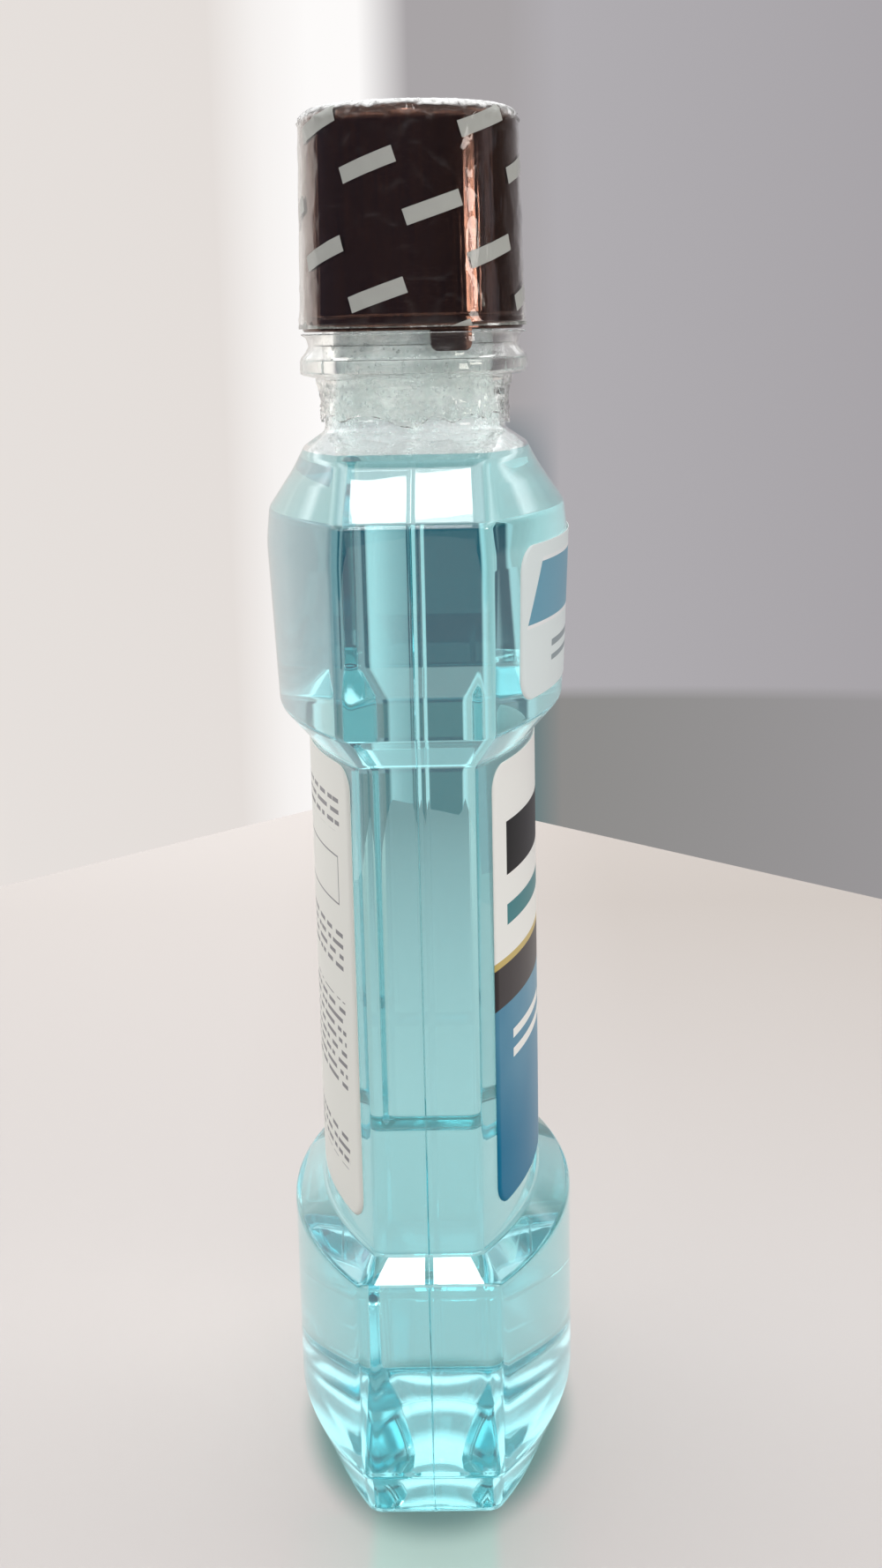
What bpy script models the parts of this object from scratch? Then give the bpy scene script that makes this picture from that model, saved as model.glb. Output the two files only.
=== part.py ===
"""Mouthwash bottle: a waisted clear bottle, its liquid, a dosing cap, three labels and a shrink sleeve.

Metres, +Z up. The origin is the middle of the foot, X runs across the bottle's width, and the front
label faces -Y. The cap's thread axis is the Z axis.
"""

import math
from dataclasses import dataclass, replace

import bmesh
import bpy
from mathutils import Vector

MM = 0.001

# Clearance between pieces that touch, the overrun of every cut and join, and the reach of merging points.
GAP = 0.3 * MM
OVERRUN = 1.0 * MM
MERGE_DISTANCE = 0.01 * MM

# Bottle body: level heights, from the foot up.
CHAMFER_HEIGHT = 12.0 * MM
BASE_HEIGHT = 35.0 * MM
BASE_SLOPE_HEIGHT = 4.2 * MM
WAIST_HEIGHT = 82.2 * MM
HEAD_SLOPE_HEIGHT = 5.6 * MM
HEAD_HEIGHT = 32.4 * MM
SHOULDER_HEIGHT = 12.2 * MM
LOWER_NECK_HEIGHT = 9.4 * MM

# Bottle body: the foot's ring, which stands on the table, and the hollow inside it.
FOOT_WIDTH = 72.0 * MM
FOOT_THICKNESS = 40.0 * MM
FOOT_FLAT = 21.5 * MM
FOOT_RING = 4.0 * MM
HOLLOW_DEPTH = 3.5 * MM
HOLLOW_SLOPE = 6.0 * MM

# Bottle body: width across X, thickness across Y and the flat side strip of each block.
BASE_WIDTH = 86.8 * MM
BASE_THICKNESS = 50.6 * MM
BASE_FLAT = 22.5 * MM
WAIST_WIDTH = 79.2 * MM
WAIST_THICKNESS = 38.9 * MM
WAIST_FLAT = 16.9 * MM
HEAD_WIDTH = 86.5 * MM
HEAD_LOWER_THICKNESS = 48.8 * MM
HEAD_THICKNESS = 51.1 * MM
HEAD_FLAT = 23.2 * MM
HEAD_CROWN_HEIGHT = 5.5 * MM
HEAD_CROWN_INSET = 0.6 * MM
CORNER_RADIUS = 2.8 * MM
EDGE_ROUNDING = 0.8 * MM
BODY_WALL = 0.7 * MM

# Neck finish.
NECK_RADIUS = 15.2 * MM
NECK_WALL = 1.8 * MM
BEAD_RADIUS = 18.8 * MM
BEAD_HEIGHT = 2.2 * MM
LOCK_RING_RADIUS = 16.8 * MM
LOCK_RING_HEIGHT = 2.0 * MM
LOCK_RING_RISE = 2.2 * MM
FINISH_HEIGHT = 16.6 * MM
RIM_ROUNDING = 0.4 * MM

# Thread, shared by neck and cap. The lead is the rise in one turn.
THREAD_LEAD = 6.0 * MM
THREAD_TURNS = 1.25
THREAD_DEPTH = 1.3 * MM
THREAD_ROOT_WIDTH = 2.2 * MM
THREAD_CREST_WIDTH = 1.2 * MM
THREAD_CLEARANCE = 0.4 * MM
THREAD_PLAY = 0.3 * MM
THREAD_START = 3.2 * MM

# Dosing cap.
CAP_HEIGHT = 34.8 * MM
CAP_RADIUS = 18.4 * MM
CAP_TOP_RADIUS = 17.8 * MM
CAP_TOP_WALL = 1.8 * MM
CAP_CORNER = 2.4 * MM
CUP_WALL = 1.8 * MM
DOSE_STEP = 0.4 * MM
DOSE_DEPTH = 9.0 * MM
TAB_WIDTH = 7.1 * MM
TAB_DROP = 3.3 * MM
TAB_WALL = 1.1 * MM
TAB_ROUNDING = 1.2 * MM
TAB_ANGLE = math.radians(201.4)

# Seal ring between the neck's rim and the cap's ledge.
SEAL_THICKNESS = 1.2 * MM
SEAL_SIDE_CLEARANCE = 0.3 * MM

# Shrink sleeve, torn in two at the cap's lower rim.
FILM = 0.15 * MM
SLEEVE_FOLD = 5.0 * MM
TEAR_GAP = 0.5 * MM
SKIRT_BELOW_BEAD = 6.0 * MM
SKIRT_NECK_SLOPE = 2.4 * MM
SKIRT_TUCK = 1.3 * MM

# Labels: width along the chord, lower edge above the foot of their block, and height.
LABEL_THICKNESS = 0.2 * MM
LABEL_CORNER = 4.0 * MM
FRONT_LABEL_WIDTH = 68.0 * MM
FRONT_LABEL_MARGIN = 5.0 * MM
FRONT_LABEL_HEIGHT = 75.9 * MM
BACK_LABEL_WIDTH = 71.0 * MM
BACK_LABEL_MARGIN = 3.6 * MM
BACK_LABEL_HEIGHT = 78.0 * MM
SHOULDER_LABEL_WIDTH = 71.0 * MM
SHOULDER_LABEL_MARGIN = 3.6 * MM
SHOULDER_LABEL_HEIGHT = 24.4 * MM

# Liquid level above the head's lower edge.
FILL_HEIGHT = 41.4 * MM

# Mesh fineness, and the angles from which level edges are rounded and edges are shown sharp.
FLAT_STEPS = 3
CORNER_STEPS = 3
FACE_STEPS = 5
TURNED_STEPS = 40
THREAD_STEPS_PER_TURN = 32
CURVE_STEPS = 4
LABEL_STEPS = 10
NECK_FLAT_SHARE = 0.5
NECK_CORNER_SHARE = 0.64
ROUNDING_ANGLE = math.radians(24)
SHARP_ANGLE = math.radians(30)

# Shoulder slices from the head's top to the neck: share of the rise, then of the way in along X and along Y.
SHOULDER_SHARES = ((0.5, 0.305, 0.43), (0.7, 0.427, 0.563), (0.8, 0.618, 0.63))
SHOULDER_FLAT_SHARE = 0.97

# Heights above the table, worked out from the sizes above.
BASE_TOP_Z = CHAMFER_HEIGHT + BASE_HEIGHT
WAIST_Z = BASE_TOP_Z + BASE_SLOPE_HEIGHT
WAIST_TOP_Z = WAIST_Z + WAIST_HEIGHT
HEAD_Z = WAIST_TOP_Z + HEAD_SLOPE_HEIGHT
HEAD_TOP_Z = HEAD_Z + HEAD_HEIGHT
NECK_Z = HEAD_TOP_Z + SHOULDER_HEIGHT
BEAD_Z = NECK_Z + LOWER_NECK_HEIGHT
LOCK_RING_Z = BEAD_Z + BEAD_HEIGHT + LOCK_RING_RISE
FINISH_Z = LOCK_RING_Z + LOCK_RING_HEIGHT
RIM_Z = FINISH_Z + FINISH_HEIGHT
CAP_Z = FINISH_Z + GAP
CAP_TOP_Z = CAP_Z + CAP_HEIGHT
CAP_INNER_RADIUS = NECK_RADIUS + THREAD_DEPTH + THREAD_CLEARANCE
LEDGE_Z = RIM_Z + GAP + SEAL_THICKNESS + GAP
FILL_Z = HEAD_Z + FILL_HEIGHT


@dataclass(frozen=True)
class Section:
    """A level slice of the body: flat at both ends of X, bowed out across Y, with four rounded corners."""

    z: float
    width: float
    thickness: float
    flat: float
    corner: float = CORNER_RADIUS

    @property
    def face_radius(self) -> float:
        """Radius of the front and back arcs, from their chord and rise."""
        half = self.width / 2
        rise = (self.thickness - self.flat) / 2
        return (half * half + rise * rise) / (2 * rise)

    def inset(self, depth: float) -> "Section":
        """The slice with every side moved inward by depth."""
        radius = self.face_radius
        half = self.width / 2 - depth
        middle = self.thickness / 2 - radius
        flat = 2 * (middle + math.sqrt((radius - depth) ** 2 - half * half))
        return replace(self, width=2 * half, thickness=self.thickness - 2 * depth, flat=flat)

    def quarter(self) -> list[tuple[float, float]]:
        """Points from the middle of the +X flat to the middle of the +Y face."""
        radius = self.face_radius
        middle = self.thickness / 2 - radius
        corner_x = self.width / 2 - self.corner
        corner_y = middle + math.sqrt((radius - self.corner) ** 2 - corner_x * corner_x)
        turn = math.atan2(corner_y - middle, corner_x)
        points = [(self.width / 2, corner_y * i / FLAT_STEPS) for i in range(FLAT_STEPS)]
        for i in range(CORNER_STEPS):
            angle = turn * i / CORNER_STEPS
            x = corner_x + self.corner * math.cos(angle)
            points.append((x, corner_y + self.corner * math.sin(angle)))
        for i in range(FACE_STEPS + 1):
            angle = turn + (math.pi / 2 - turn) * i / FACE_STEPS
            points.append((radius * math.cos(angle), middle + radius * math.sin(angle)))
        return points


@dataclass(frozen=True)
class Circle:
    """A round slice of the neck, with its points spaced to meet those of a Section."""

    z: float
    radius: float

    def quarter(self) -> list[tuple[float, float]]:
        """Points from +X to +Y."""
        ends = [0.0, NECK_FLAT_SHARE, NECK_CORNER_SHARE, 1.0]
        counts = [FLAT_STEPS, CORNER_STEPS, FACE_STEPS]
        shares = [a + (b - a) * i / n for a, b, n in zip(ends, ends[1:], counts) for i in range(n)] + [1.0]
        angles = [share * math.pi / 2 for share in shares]
        return [(self.radius * math.cos(angle), self.radius * math.sin(angle)) for angle in angles]


@dataclass(frozen=True)
class LabelOutline:
    """A label's width along the chord of its face, the height of its lower edge and its own height."""

    width: float
    low: float
    height: float


def between(lower: Section, upper: Section, z: float) -> Section:
    """The slice at height z of the block that runs straight from lower to upper."""
    share = (z - lower.z) / (upper.z - lower.z)

    def mixed(first: float, last: float) -> float:
        return first + (last - first) * share

    return Section(
        z,
        mixed(lower.width, upper.width),
        mixed(lower.thickness, upper.thickness),
        mixed(lower.flat, upper.flat),
    )


FOOT = Section(0.0, FOOT_WIDTH, FOOT_THICKNESS, FOOT_FLAT)
BASE = Section(CHAMFER_HEIGHT, BASE_WIDTH, BASE_THICKNESS, BASE_FLAT)
WAIST = Section(WAIST_Z, WAIST_WIDTH, WAIST_THICKNESS, WAIST_FLAT)
WAIST_TOP = replace(WAIST, z=WAIST_TOP_Z)
HEAD_LOWER = Section(HEAD_Z, HEAD_WIDTH, HEAD_LOWER_THICKNESS, HEAD_FLAT)
HEAD_UPPER = Section(HEAD_TOP_Z - HEAD_CROWN_HEIGHT, HEAD_WIDTH, HEAD_THICKNESS, HEAD_FLAT)
HEAD_TOP = replace(HEAD_UPPER.inset(HEAD_CROWN_INSET), z=HEAD_TOP_Z, width=HEAD_WIDTH)


def collection(name: str) -> bpy.types.Collection:
    """A new collection in the scene."""
    made = bpy.data.collections.new(name)
    bpy.context.scene.collection.children.link(made)
    return made


def material(name: str, colour: tuple[float, float, float], roughness: float, clear: float = 0.0):
    """A Principled material, with clear as its transmission."""
    made = bpy.data.materials.new(name)
    made.use_nodes = True
    shader = made.node_tree.nodes["Principled BSDF"]
    shader.inputs["Base Color"].default_value = (*colour, 1.0)
    shader.inputs["Roughness"].default_value = roughness
    shader.inputs["Metallic"].default_value = 0.0
    shader.inputs["Transmission Weight"].default_value = clear
    made.diffuse_color = (*colour, 1.0)
    return made


def add(name: str, mesh: bpy.types.Mesh, group: bpy.types.Collection, finish=None, z: float = 0.0):
    """Links a mesh as an object whose origin is on the Z axis at height z."""
    obj = bpy.data.objects.new(name, mesh)
    obj.location.z = z
    group.objects.link(obj)
    if finish:
        mesh.materials.append(finish)
    return obj


def tidy(obj: bpy.types.Object) -> None:
    """Makes one piece's faces look outward."""
    work = bmesh.new()
    work.from_mesh(obj.data)
    bmesh.ops.recalc_face_normals(work, faces=work.faces)
    work.to_mesh(obj.data)
    work.free()


def evaluated_mesh(obj: bpy.types.Object) -> bpy.types.Mesh:
    """The object's mesh with its modifiers applied."""
    graph = bpy.context.evaluated_depsgraph_get()
    graph.update()
    return bpy.data.meshes.new_from_object(obj.evaluated_get(graph))


def hide(obj: bpy.types.Object) -> None:
    """Marks a helper that only shapes another object."""
    obj.hide_render = True
    obj.display_type = "WIRE"


def boolean(obj: bpy.types.Object, other: bpy.types.Object, operation: str) -> None:
    """Adds a Boolean with a helper object."""
    hide(other)
    modifier = obj.modifiers.new(operation.title() + " " + other.name, "BOOLEAN")
    modifier.operation = operation
    modifier.solver = "EXACT"
    modifier.object = other


def full_ring(slice_) -> list[Vector]:
    """The slice's closed outline, anticlockwise from above."""
    quarter = slice_.quarter()
    half = quarter + [(-x, y) for x, y in reversed(quarter[:-1])]
    whole = half + [(x, -y) for x, y in reversed(half[1:-1])]
    return [Vector((x, y, slice_.z)) for x, y in whole]


def loft(slices, close_bottom: bool) -> bpy.types.Mesh:
    """A surface through the outlines of the slices, from the first one on."""
    work = bmesh.new()
    rings = [[work.verts.new(point) for point in full_ring(slice_)] for slice_ in slices]
    for lower, upper in zip(rings, rings[1:]):
        for i, point in enumerate(lower):
            after = (i + 1) % len(lower)
            work.faces.new((point, lower[after], upper[after], upper[i]))
    if close_bottom:
        work.faces.new(list(reversed(rings[0])))
    mesh = bpy.data.meshes.new("loft")
    work.to_mesh(mesh)
    work.free()
    return mesh


def shoulder_slices() -> list:
    """Slices that round the shoulder over from the head's top to the neck's foot."""
    slices = []
    for rise, along_x, along_y in SHOULDER_SHARES:
        half_width = HEAD_TOP.width / 2 + (NECK_RADIUS - HEAD_TOP.width / 2) * along_x
        half_thickness = HEAD_TOP.thickness / 2 + (NECK_RADIUS - HEAD_TOP.thickness / 2) * along_y
        z = HEAD_TOP_Z + SHOULDER_HEIGHT * rise
        slices.append(Section(z, 2 * half_width, 2 * half_thickness, HEAD_FLAT * SHOULDER_FLAT_SHARE))
    return [*slices, Circle(NECK_Z, NECK_RADIUS)]


def body_surface(group: bpy.types.Collection) -> bpy.types.Mesh:
    """The outside of the bottle up to the bead, open at the neck, with its level edges rounded."""
    ring = FOOT.inset(FOOT_RING)
    hollow = replace(ring.inset(HOLLOW_SLOPE), z=HOLLOW_DEPTH)
    slices = [
        hollow,
        ring,
        FOOT,
        BASE,
        replace(BASE, z=BASE_TOP_Z),
        WAIST,
        WAIST_TOP,
        HEAD_LOWER,
        HEAD_UPPER,
        HEAD_TOP,
        *shoulder_slices(),
        Circle(BEAD_Z + BEAD_HEIGHT / 2, NECK_RADIUS),
    ]
    guide = add("body_guide", loft(slices, close_bottom=True), group)
    tidy(guide)
    rounding = guide.modifiers.new("Rounded level edges", "BEVEL")
    rounding.width = EDGE_ROUNDING
    rounding.segments = 1
    rounding.limit_method = "ANGLE"
    rounding.angle_limit = ROUNDING_ANGLE
    mesh = evaluated_mesh(guide)
    bpy.data.objects.remove(guide)
    return mesh


def turned(name: str, profile: list, group, finish=None, z: float = 0.0, closed: bool = True):
    """A profile of (radius, height) points turned about Z. It runs down its outer side."""
    mesh = bpy.data.meshes.new(name)
    edges = [(i, i + 1) for i in range(len(profile) - 1)]
    if closed:
        edges.append((len(profile) - 1, 0))
    mesh.from_pydata([(radius, 0.0, height - z) for radius, height in profile], edges, [])
    obj = add(name, mesh, group, finish, z)
    screw = obj.modifiers.new("Turned", "SCREW")
    screw.steps = TURNED_STEPS
    screw.render_steps = TURNED_STEPS
    screw.use_merge_vertices = True
    screw.merge_threshold = MERGE_DISTANCE
    return obj


def arc(radius: float, height: float, corner: float, start: float, end: float) -> list[tuple[float, float]]:
    """Points of a round corner in a turned profile, with its centre at (radius, height)."""
    angles = [start + (end - start) * i / CURVE_STEPS for i in range(CURVE_STEPS + 1)]
    return [(radius + corner * math.cos(angle), height + corner * math.sin(angle)) for angle in angles]


def thread_ridge(name: str, root: float, outward: float, start_z: float, group, origin_z: float):
    """A helical thread ridge that stands out of the wall at radius root.

    outward is 1 on a neck and -1 inside a cap.
    """
    outline = bpy.data.curves.new(name + "_outline", "CURVE")
    outline.dimensions = "2D"
    section = outline.splines.new("POLY")
    section.points.add(3)
    foot, crest = -outward * OVERRUN / 2, outward * THREAD_DEPTH
    corners = [
        (foot, -THREAD_ROOT_WIDTH / 2),
        (crest, -THREAD_CREST_WIDTH / 2),
        (crest, THREAD_CREST_WIDTH / 2),
        (foot, THREAD_ROOT_WIDTH / 2),
    ]
    for point, (x, y) in zip(section.points, corners):
        point.co = (x, y, 0.0, 1.0)
    section.use_cyclic_u = True
    outline_object = bpy.data.objects.new(name + "_outline", outline)
    group.objects.link(outline_object)

    path = bpy.data.curves.new(name, "CURVE")
    path.dimensions = "3D"
    path.twist_mode = "Z_UP"
    path.bevel_mode = "OBJECT"
    path.bevel_object = outline_object
    path.use_fill_caps = True
    helix = path.splines.new("POLY")
    steps = round(THREAD_STEPS_PER_TURN * THREAD_TURNS)
    helix.points.add(steps)
    for i, point in enumerate(helix.points):
        angle = math.tau * i / THREAD_STEPS_PER_TURN
        height = start_z - origin_z + THREAD_LEAD * i / THREAD_STEPS_PER_TURN
        point.co = (root * math.cos(angle), root * math.sin(angle), height, 1.0)
    curve_object = bpy.data.objects.new(name, path)
    curve_object.location.z = origin_z
    group.objects.link(curve_object)
    bpy.context.view_layer.update()

    ridge = add(name + "_ridge", evaluated_mesh(curve_object), group, z=origin_z)
    work = bmesh.new()
    work.from_mesh(ridge.data)
    bmesh.ops.remove_doubles(work, verts=work.verts, dist=MERGE_DISTANCE)
    bmesh.ops.recalc_face_normals(work, faces=work.faces)
    work.to_mesh(ridge.data)
    work.free()
    bpy.data.objects.remove(curve_object)
    bpy.data.objects.remove(outline_object)
    hide(ridge)
    return ridge


def bottle(group, helpers, surface: bpy.types.Mesh):
    """The bottle's blown body and its moulded neck finish, as one shell with an open mouth."""
    clear = material("clear_pet", (0.80, 0.90, 0.90), 0.05, clear=1.0)
    obj = add("bottle", surface.copy(), group, clear)
    wall = obj.modifiers.new("Blown wall", "SOLIDIFY")
    wall.thickness = BODY_WALL
    wall.offset = -1.0
    wall.use_even_offset = True

    bore = NECK_RADIUS - NECK_WALL
    bead_top = BEAD_Z + BEAD_HEIGHT
    profile = [
        (NECK_RADIUS - RIM_ROUNDING, RIM_Z),
        (NECK_RADIUS, RIM_Z - RIM_ROUNDING),
        (NECK_RADIUS, FINISH_Z),
        (LOCK_RING_RADIUS, FINISH_Z),
        (LOCK_RING_RADIUS, LOCK_RING_Z),
        (NECK_RADIUS + RIM_ROUNDING, LOCK_RING_Z),
        (NECK_RADIUS + RIM_ROUNDING, bead_top + RIM_ROUNDING),
        (BEAD_RADIUS - RIM_ROUNDING, bead_top),
        (BEAD_RADIUS, bead_top - RIM_ROUNDING),
        (BEAD_RADIUS, BEAD_Z + RIM_ROUNDING),
        (BEAD_RADIUS - RIM_ROUNDING, BEAD_Z),
        (NECK_RADIUS + RIM_ROUNDING, BEAD_Z - RIM_ROUNDING),
        (bore + RIM_ROUNDING, BEAD_Z - NECK_WALL),
        (bore, BEAD_Z),
        (bore, RIM_Z - RIM_ROUNDING),
        (bore + RIM_ROUNDING, RIM_Z),
    ]
    finish = turned("neck_finish", profile, helpers)
    ridge = thread_ridge("neck_thread", NECK_RADIUS, 1.0, FINISH_Z + THREAD_START, helpers, 0.0)
    boolean(obj, finish, "UNION")
    boolean(obj, ridge, "UNION")
    return obj


def mouthwash(group, surface: bpy.types.Mesh):
    """The liquid, one gap inside the bottle's wall and level at its fill height."""
    work = bmesh.new()
    work.from_mesh(surface)
    work.normal_update()
    depth = BODY_WALL + GAP
    moves = [(vert, vert.normal * depth * vert.calc_shell_factor()) for vert in work.verts]
    for vert, move in moves:
        vert.co -= move
    parts = work.verts[:] + work.edges[:] + work.faces[:]
    cut = bmesh.ops.bisect_plane(
        work, geom=parts, plane_co=(0, 0, FILL_Z), plane_no=(0, 0, 1), clear_outer=True, dist=MERGE_DISTANCE
    )
    rim = [item for item in cut["geom_cut"] if isinstance(item, bmesh.types.BMEdge)]
    bmesh.ops.contextual_create(work, geom=rim)
    bmesh.ops.recalc_face_normals(work, faces=work.faces)
    mesh = bpy.data.meshes.new("mouthwash")
    work.to_mesh(mesh)
    work.free()
    return add("mouthwash", mesh, group, material("teal_liquid", (0.25, 0.62, 0.63), 0.05, clear=1.0))


def cap(group, helpers):
    """The dosing cap: a tapered cup with a thread, a sealing ledge, a dose step and a locking tab."""
    dark = material("dark_cap_plastic", (0.02, 0.013, 0.015), 0.25)
    cup = CAP_TOP_RADIUS - CUP_WALL
    dose_z = LEDGE_Z + DOSE_DEPTH
    cup_top = CAP_TOP_Z - CAP_TOP_WALL
    corner = arc(CAP_TOP_RADIUS - CAP_CORNER, CAP_TOP_Z - CAP_CORNER, CAP_CORNER, math.pi / 2, 0.0)
    inner_corner = CAP_CORNER / 2
    profile = [
        (0.0, CAP_TOP_Z),
        *corner,
        (CAP_RADIUS, CAP_Z),
        (CAP_INNER_RADIUS, CAP_Z),
        (CAP_INNER_RADIUS, LEDGE_Z),
        (cup, LEDGE_Z),
        (cup, dose_z),
        (cup - DOSE_STEP, dose_z + DOSE_STEP),
        (cup - DOSE_STEP, cup_top - inner_corner),
        (cup - DOSE_STEP - inner_corner, cup_top),
        (0.0, cup_top),
    ]
    obj = turned("cap", profile, group, dark, z=CAP_Z, closed=False)
    # At rest the cap's ridge lies under the neck's, with the play between their slanted sides.
    middle_width = (THREAD_ROOT_WIDTH + THREAD_CREST_WIDTH) / 2
    start = FINISH_Z + THREAD_START - middle_width - THREAD_PLAY
    ridge = thread_ridge("cap_thread", CAP_INNER_RADIUS, -1.0, start + THREAD_LEAD / 2, helpers, CAP_Z)
    ridge.rotation_euler.z = math.pi
    boolean(obj, ridge, "UNION")
    boolean(obj, locking_tab(helpers), "UNION")
    return obj


def locking_tab(helpers):
    """A curved tab with round lower corners, which hangs below the cap's rim."""
    outer = CAP_RADIUS - GAP / 2
    inner = outer - TAB_WALL
    low = CAP_Z - TAB_DROP
    top = CAP_Z + OVERRUN
    band = turned("tab_band", [(outer, top), (outer, low), (inner, low), (inner, top)], helpers)
    work = bmesh.new()
    bmesh.ops.create_cube(work, size=1.0)
    bmesh.ops.scale(work, vec=(2 * TAB_WALL + OVERRUN, TAB_WIDTH, 2 * TAB_DROP), verts=work.verts)
    lower = [e for e in work.edges if all(v.co.z < 0 for v in e.verts) and is_along_x(e)]
    bmesh.ops.bevel(work, geom=lower, offset=TAB_ROUNDING, segments=CURVE_STEPS, profile=0.5, affect="EDGES")
    mesh = bpy.data.meshes.new("tab_block")
    work.to_mesh(mesh)
    work.free()
    block = add("tab_block", mesh, helpers)
    block.rotation_euler.z = TAB_ANGLE
    block.location = (inner * math.cos(TAB_ANGLE), inner * math.sin(TAB_ANGLE), low + TAB_DROP)
    boolean(band, block, "INTERSECT")
    return band


def is_along_x(edge: bmesh.types.BMEdge) -> bool:
    """True for an edge that runs along X."""
    run = edge.verts[1].co - edge.verts[0].co
    return abs(run.x) > abs(run.y) + abs(run.z)


def seal_ring(group):
    """The soft ring that the cap's ledge presses on the neck's rim."""
    outer = CAP_INNER_RADIUS - SEAL_SIDE_CLEARANCE
    inner = NECK_RADIUS - NECK_WALL
    low = RIM_Z + GAP
    high = low + SEAL_THICKNESS
    profile = [(outer, high), (outer, low), (inner, low), (inner, high)]
    soft = material("seal_foam", (0.85, 0.86, 0.84), 0.7)
    return turned("cap_seal_ring", profile, group, soft, z=low)


def film(name: str, profile: list[tuple[float, float]], group, finish):
    """A piece of thin film: an open turned surface with the film's thickness added outward."""
    obj = turned(name, profile, group, finish, closed=False)
    wall = obj.modifiers.new("Film", "SOLIDIFY")
    wall.thickness = FILM
    wall.offset = 1.0
    wall.use_even_offset = True
    return obj


def sleeve_top(group, finish):
    """The upper sleeve, shrunk on the cap and folded in over its top."""
    corner = arc(CAP_TOP_RADIUS - CAP_CORNER, CAP_TOP_Z - CAP_CORNER, CAP_CORNER + GAP, math.pi / 2, 0.0)
    profile = [
        (CAP_TOP_RADIUS - CAP_CORNER - SLEEVE_FOLD, CAP_TOP_Z + GAP),
        *corner,
        (CAP_RADIUS + GAP, CAP_Z + TEAR_GAP),
    ]
    return film("sleeve_top", profile, group, finish)


def sleeve_skirt(group, finish):
    """The lower sleeve, which goes round the tab and the bead and draws in on the neck."""
    bead = BEAD_RADIUS + GAP
    neck = NECK_RADIUS + GAP
    under = BEAD_Z - GAP
    profile = [
        (CAP_RADIUS + GAP, CAP_Z - GAP),
        (bead, BEAD_Z + BEAD_HEIGHT),
        (bead, under),
        (bead - SKIRT_TUCK, under - SKIRT_TUCK),
        (neck, under - SKIRT_TUCK - SKIRT_NECK_SLOPE),
        (neck, BEAD_Z - SKIRT_BELOW_BEAD),
    ]
    return film("sleeve_skirt", profile, group, finish)


def label(name: str, block: tuple[Section, Section], side: float, outline: LabelOutline, groups, finish):
    """A thin label with round corners, laid one gap off the bowed face of a block.

    side is -1 on the front and 1 on the back. groups holds the collections of the pieces and the helpers.
    """
    work = bmesh.new()
    rows = []
    for z in (outline.low - OVERRUN, outline.low + outline.height + OVERRUN):
        section = between(*block, z).inset(-GAP)
        radius = section.face_radius
        middle = section.thickness / 2 - radius
        reach = math.asin((outline.width / 2 + OVERRUN) / radius)
        angles = [reach * (2 * i / LABEL_STEPS - 1) for i in range(LABEL_STEPS + 1)]
        points = [(radius * math.sin(a), side * (middle + radius * math.cos(a)), z) for a in angles]
        rows.append([work.verts.new(point) for point in points])
    for i in range(LABEL_STEPS):
        work.faces.new((rows[0][i], rows[0][i + 1], rows[1][i + 1], rows[1][i]))
    if side > 0:
        bmesh.ops.reverse_faces(work, faces=work.faces)
    mesh = bpy.data.meshes.new(name)
    work.to_mesh(mesh)
    work.free()
    group, helpers = groups
    obj = add(name, mesh, group, finish)
    wall = obj.modifiers.new("Label film", "SOLIDIFY")
    wall.thickness = LABEL_THICKNESS
    wall.offset = 1.0
    boolean(obj, label_block(name + "_block", outline, side, helpers), "INTERSECT")
    return obj


def label_block(name: str, outline: LabelOutline, side: float, helpers):
    """A block with the label's outline and round corners, which trims the label's sheet."""
    work = bmesh.new()
    bmesh.ops.create_cube(work, size=1.0)
    bmesh.ops.scale(work, vec=(outline.width, HEAD_THICKNESS, outline.height), verts=work.verts)
    edges = [e for e in work.edges if abs(e.verts[0].co.y - e.verts[1].co.y) > HEAD_THICKNESS / 2]
    bmesh.ops.bevel(work, geom=edges, offset=LABEL_CORNER, segments=CURVE_STEPS, profile=0.5, affect="EDGES")
    bmesh.ops.translate(work, vec=(0, side * HEAD_THICKNESS / 2, 0), verts=work.verts)
    mesh = bpy.data.meshes.new(name)
    work.to_mesh(mesh)
    work.free()
    return add(name, mesh, helpers, z=outline.low + outline.height / 2)


def labels(*groups):
    """The front, back and shoulder labels."""
    waist = (WAIST, WAIST_TOP)
    head = (HEAD_LOWER, HEAD_UPPER)
    front = LabelOutline(FRONT_LABEL_WIDTH, WAIST_Z + FRONT_LABEL_MARGIN, FRONT_LABEL_HEIGHT)
    back = LabelOutline(BACK_LABEL_WIDTH, WAIST_Z + BACK_LABEL_MARGIN, BACK_LABEL_HEIGHT)
    shoulder = LabelOutline(SHOULDER_LABEL_WIDTH, HEAD_Z + SHOULDER_LABEL_MARGIN, SHOULDER_LABEL_HEIGHT)
    front_film = material("front_label_film", (0.62, 0.72, 0.78), 0.35)
    back_film = material("back_label_film", (0.82, 0.83, 0.81), 0.4)
    shoulder_film = material("shoulder_label_film", (0.55, 0.70, 0.76), 0.35)
    return [
        label("front_label", waist, -1.0, front, groups, front_film),
        label("back_label", waist, 1.0, back, groups, back_film),
        label("shoulder_label", head, -1.0, shoulder, groups, shoulder_film),
    ]


def shade(obj: bpy.types.Object) -> None:
    """Smooth shading with the hard edges kept."""
    obj.data.shade_smooth()
    obj.data.set_sharp_from_angle(angle=SHARP_ANGLE)


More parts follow.
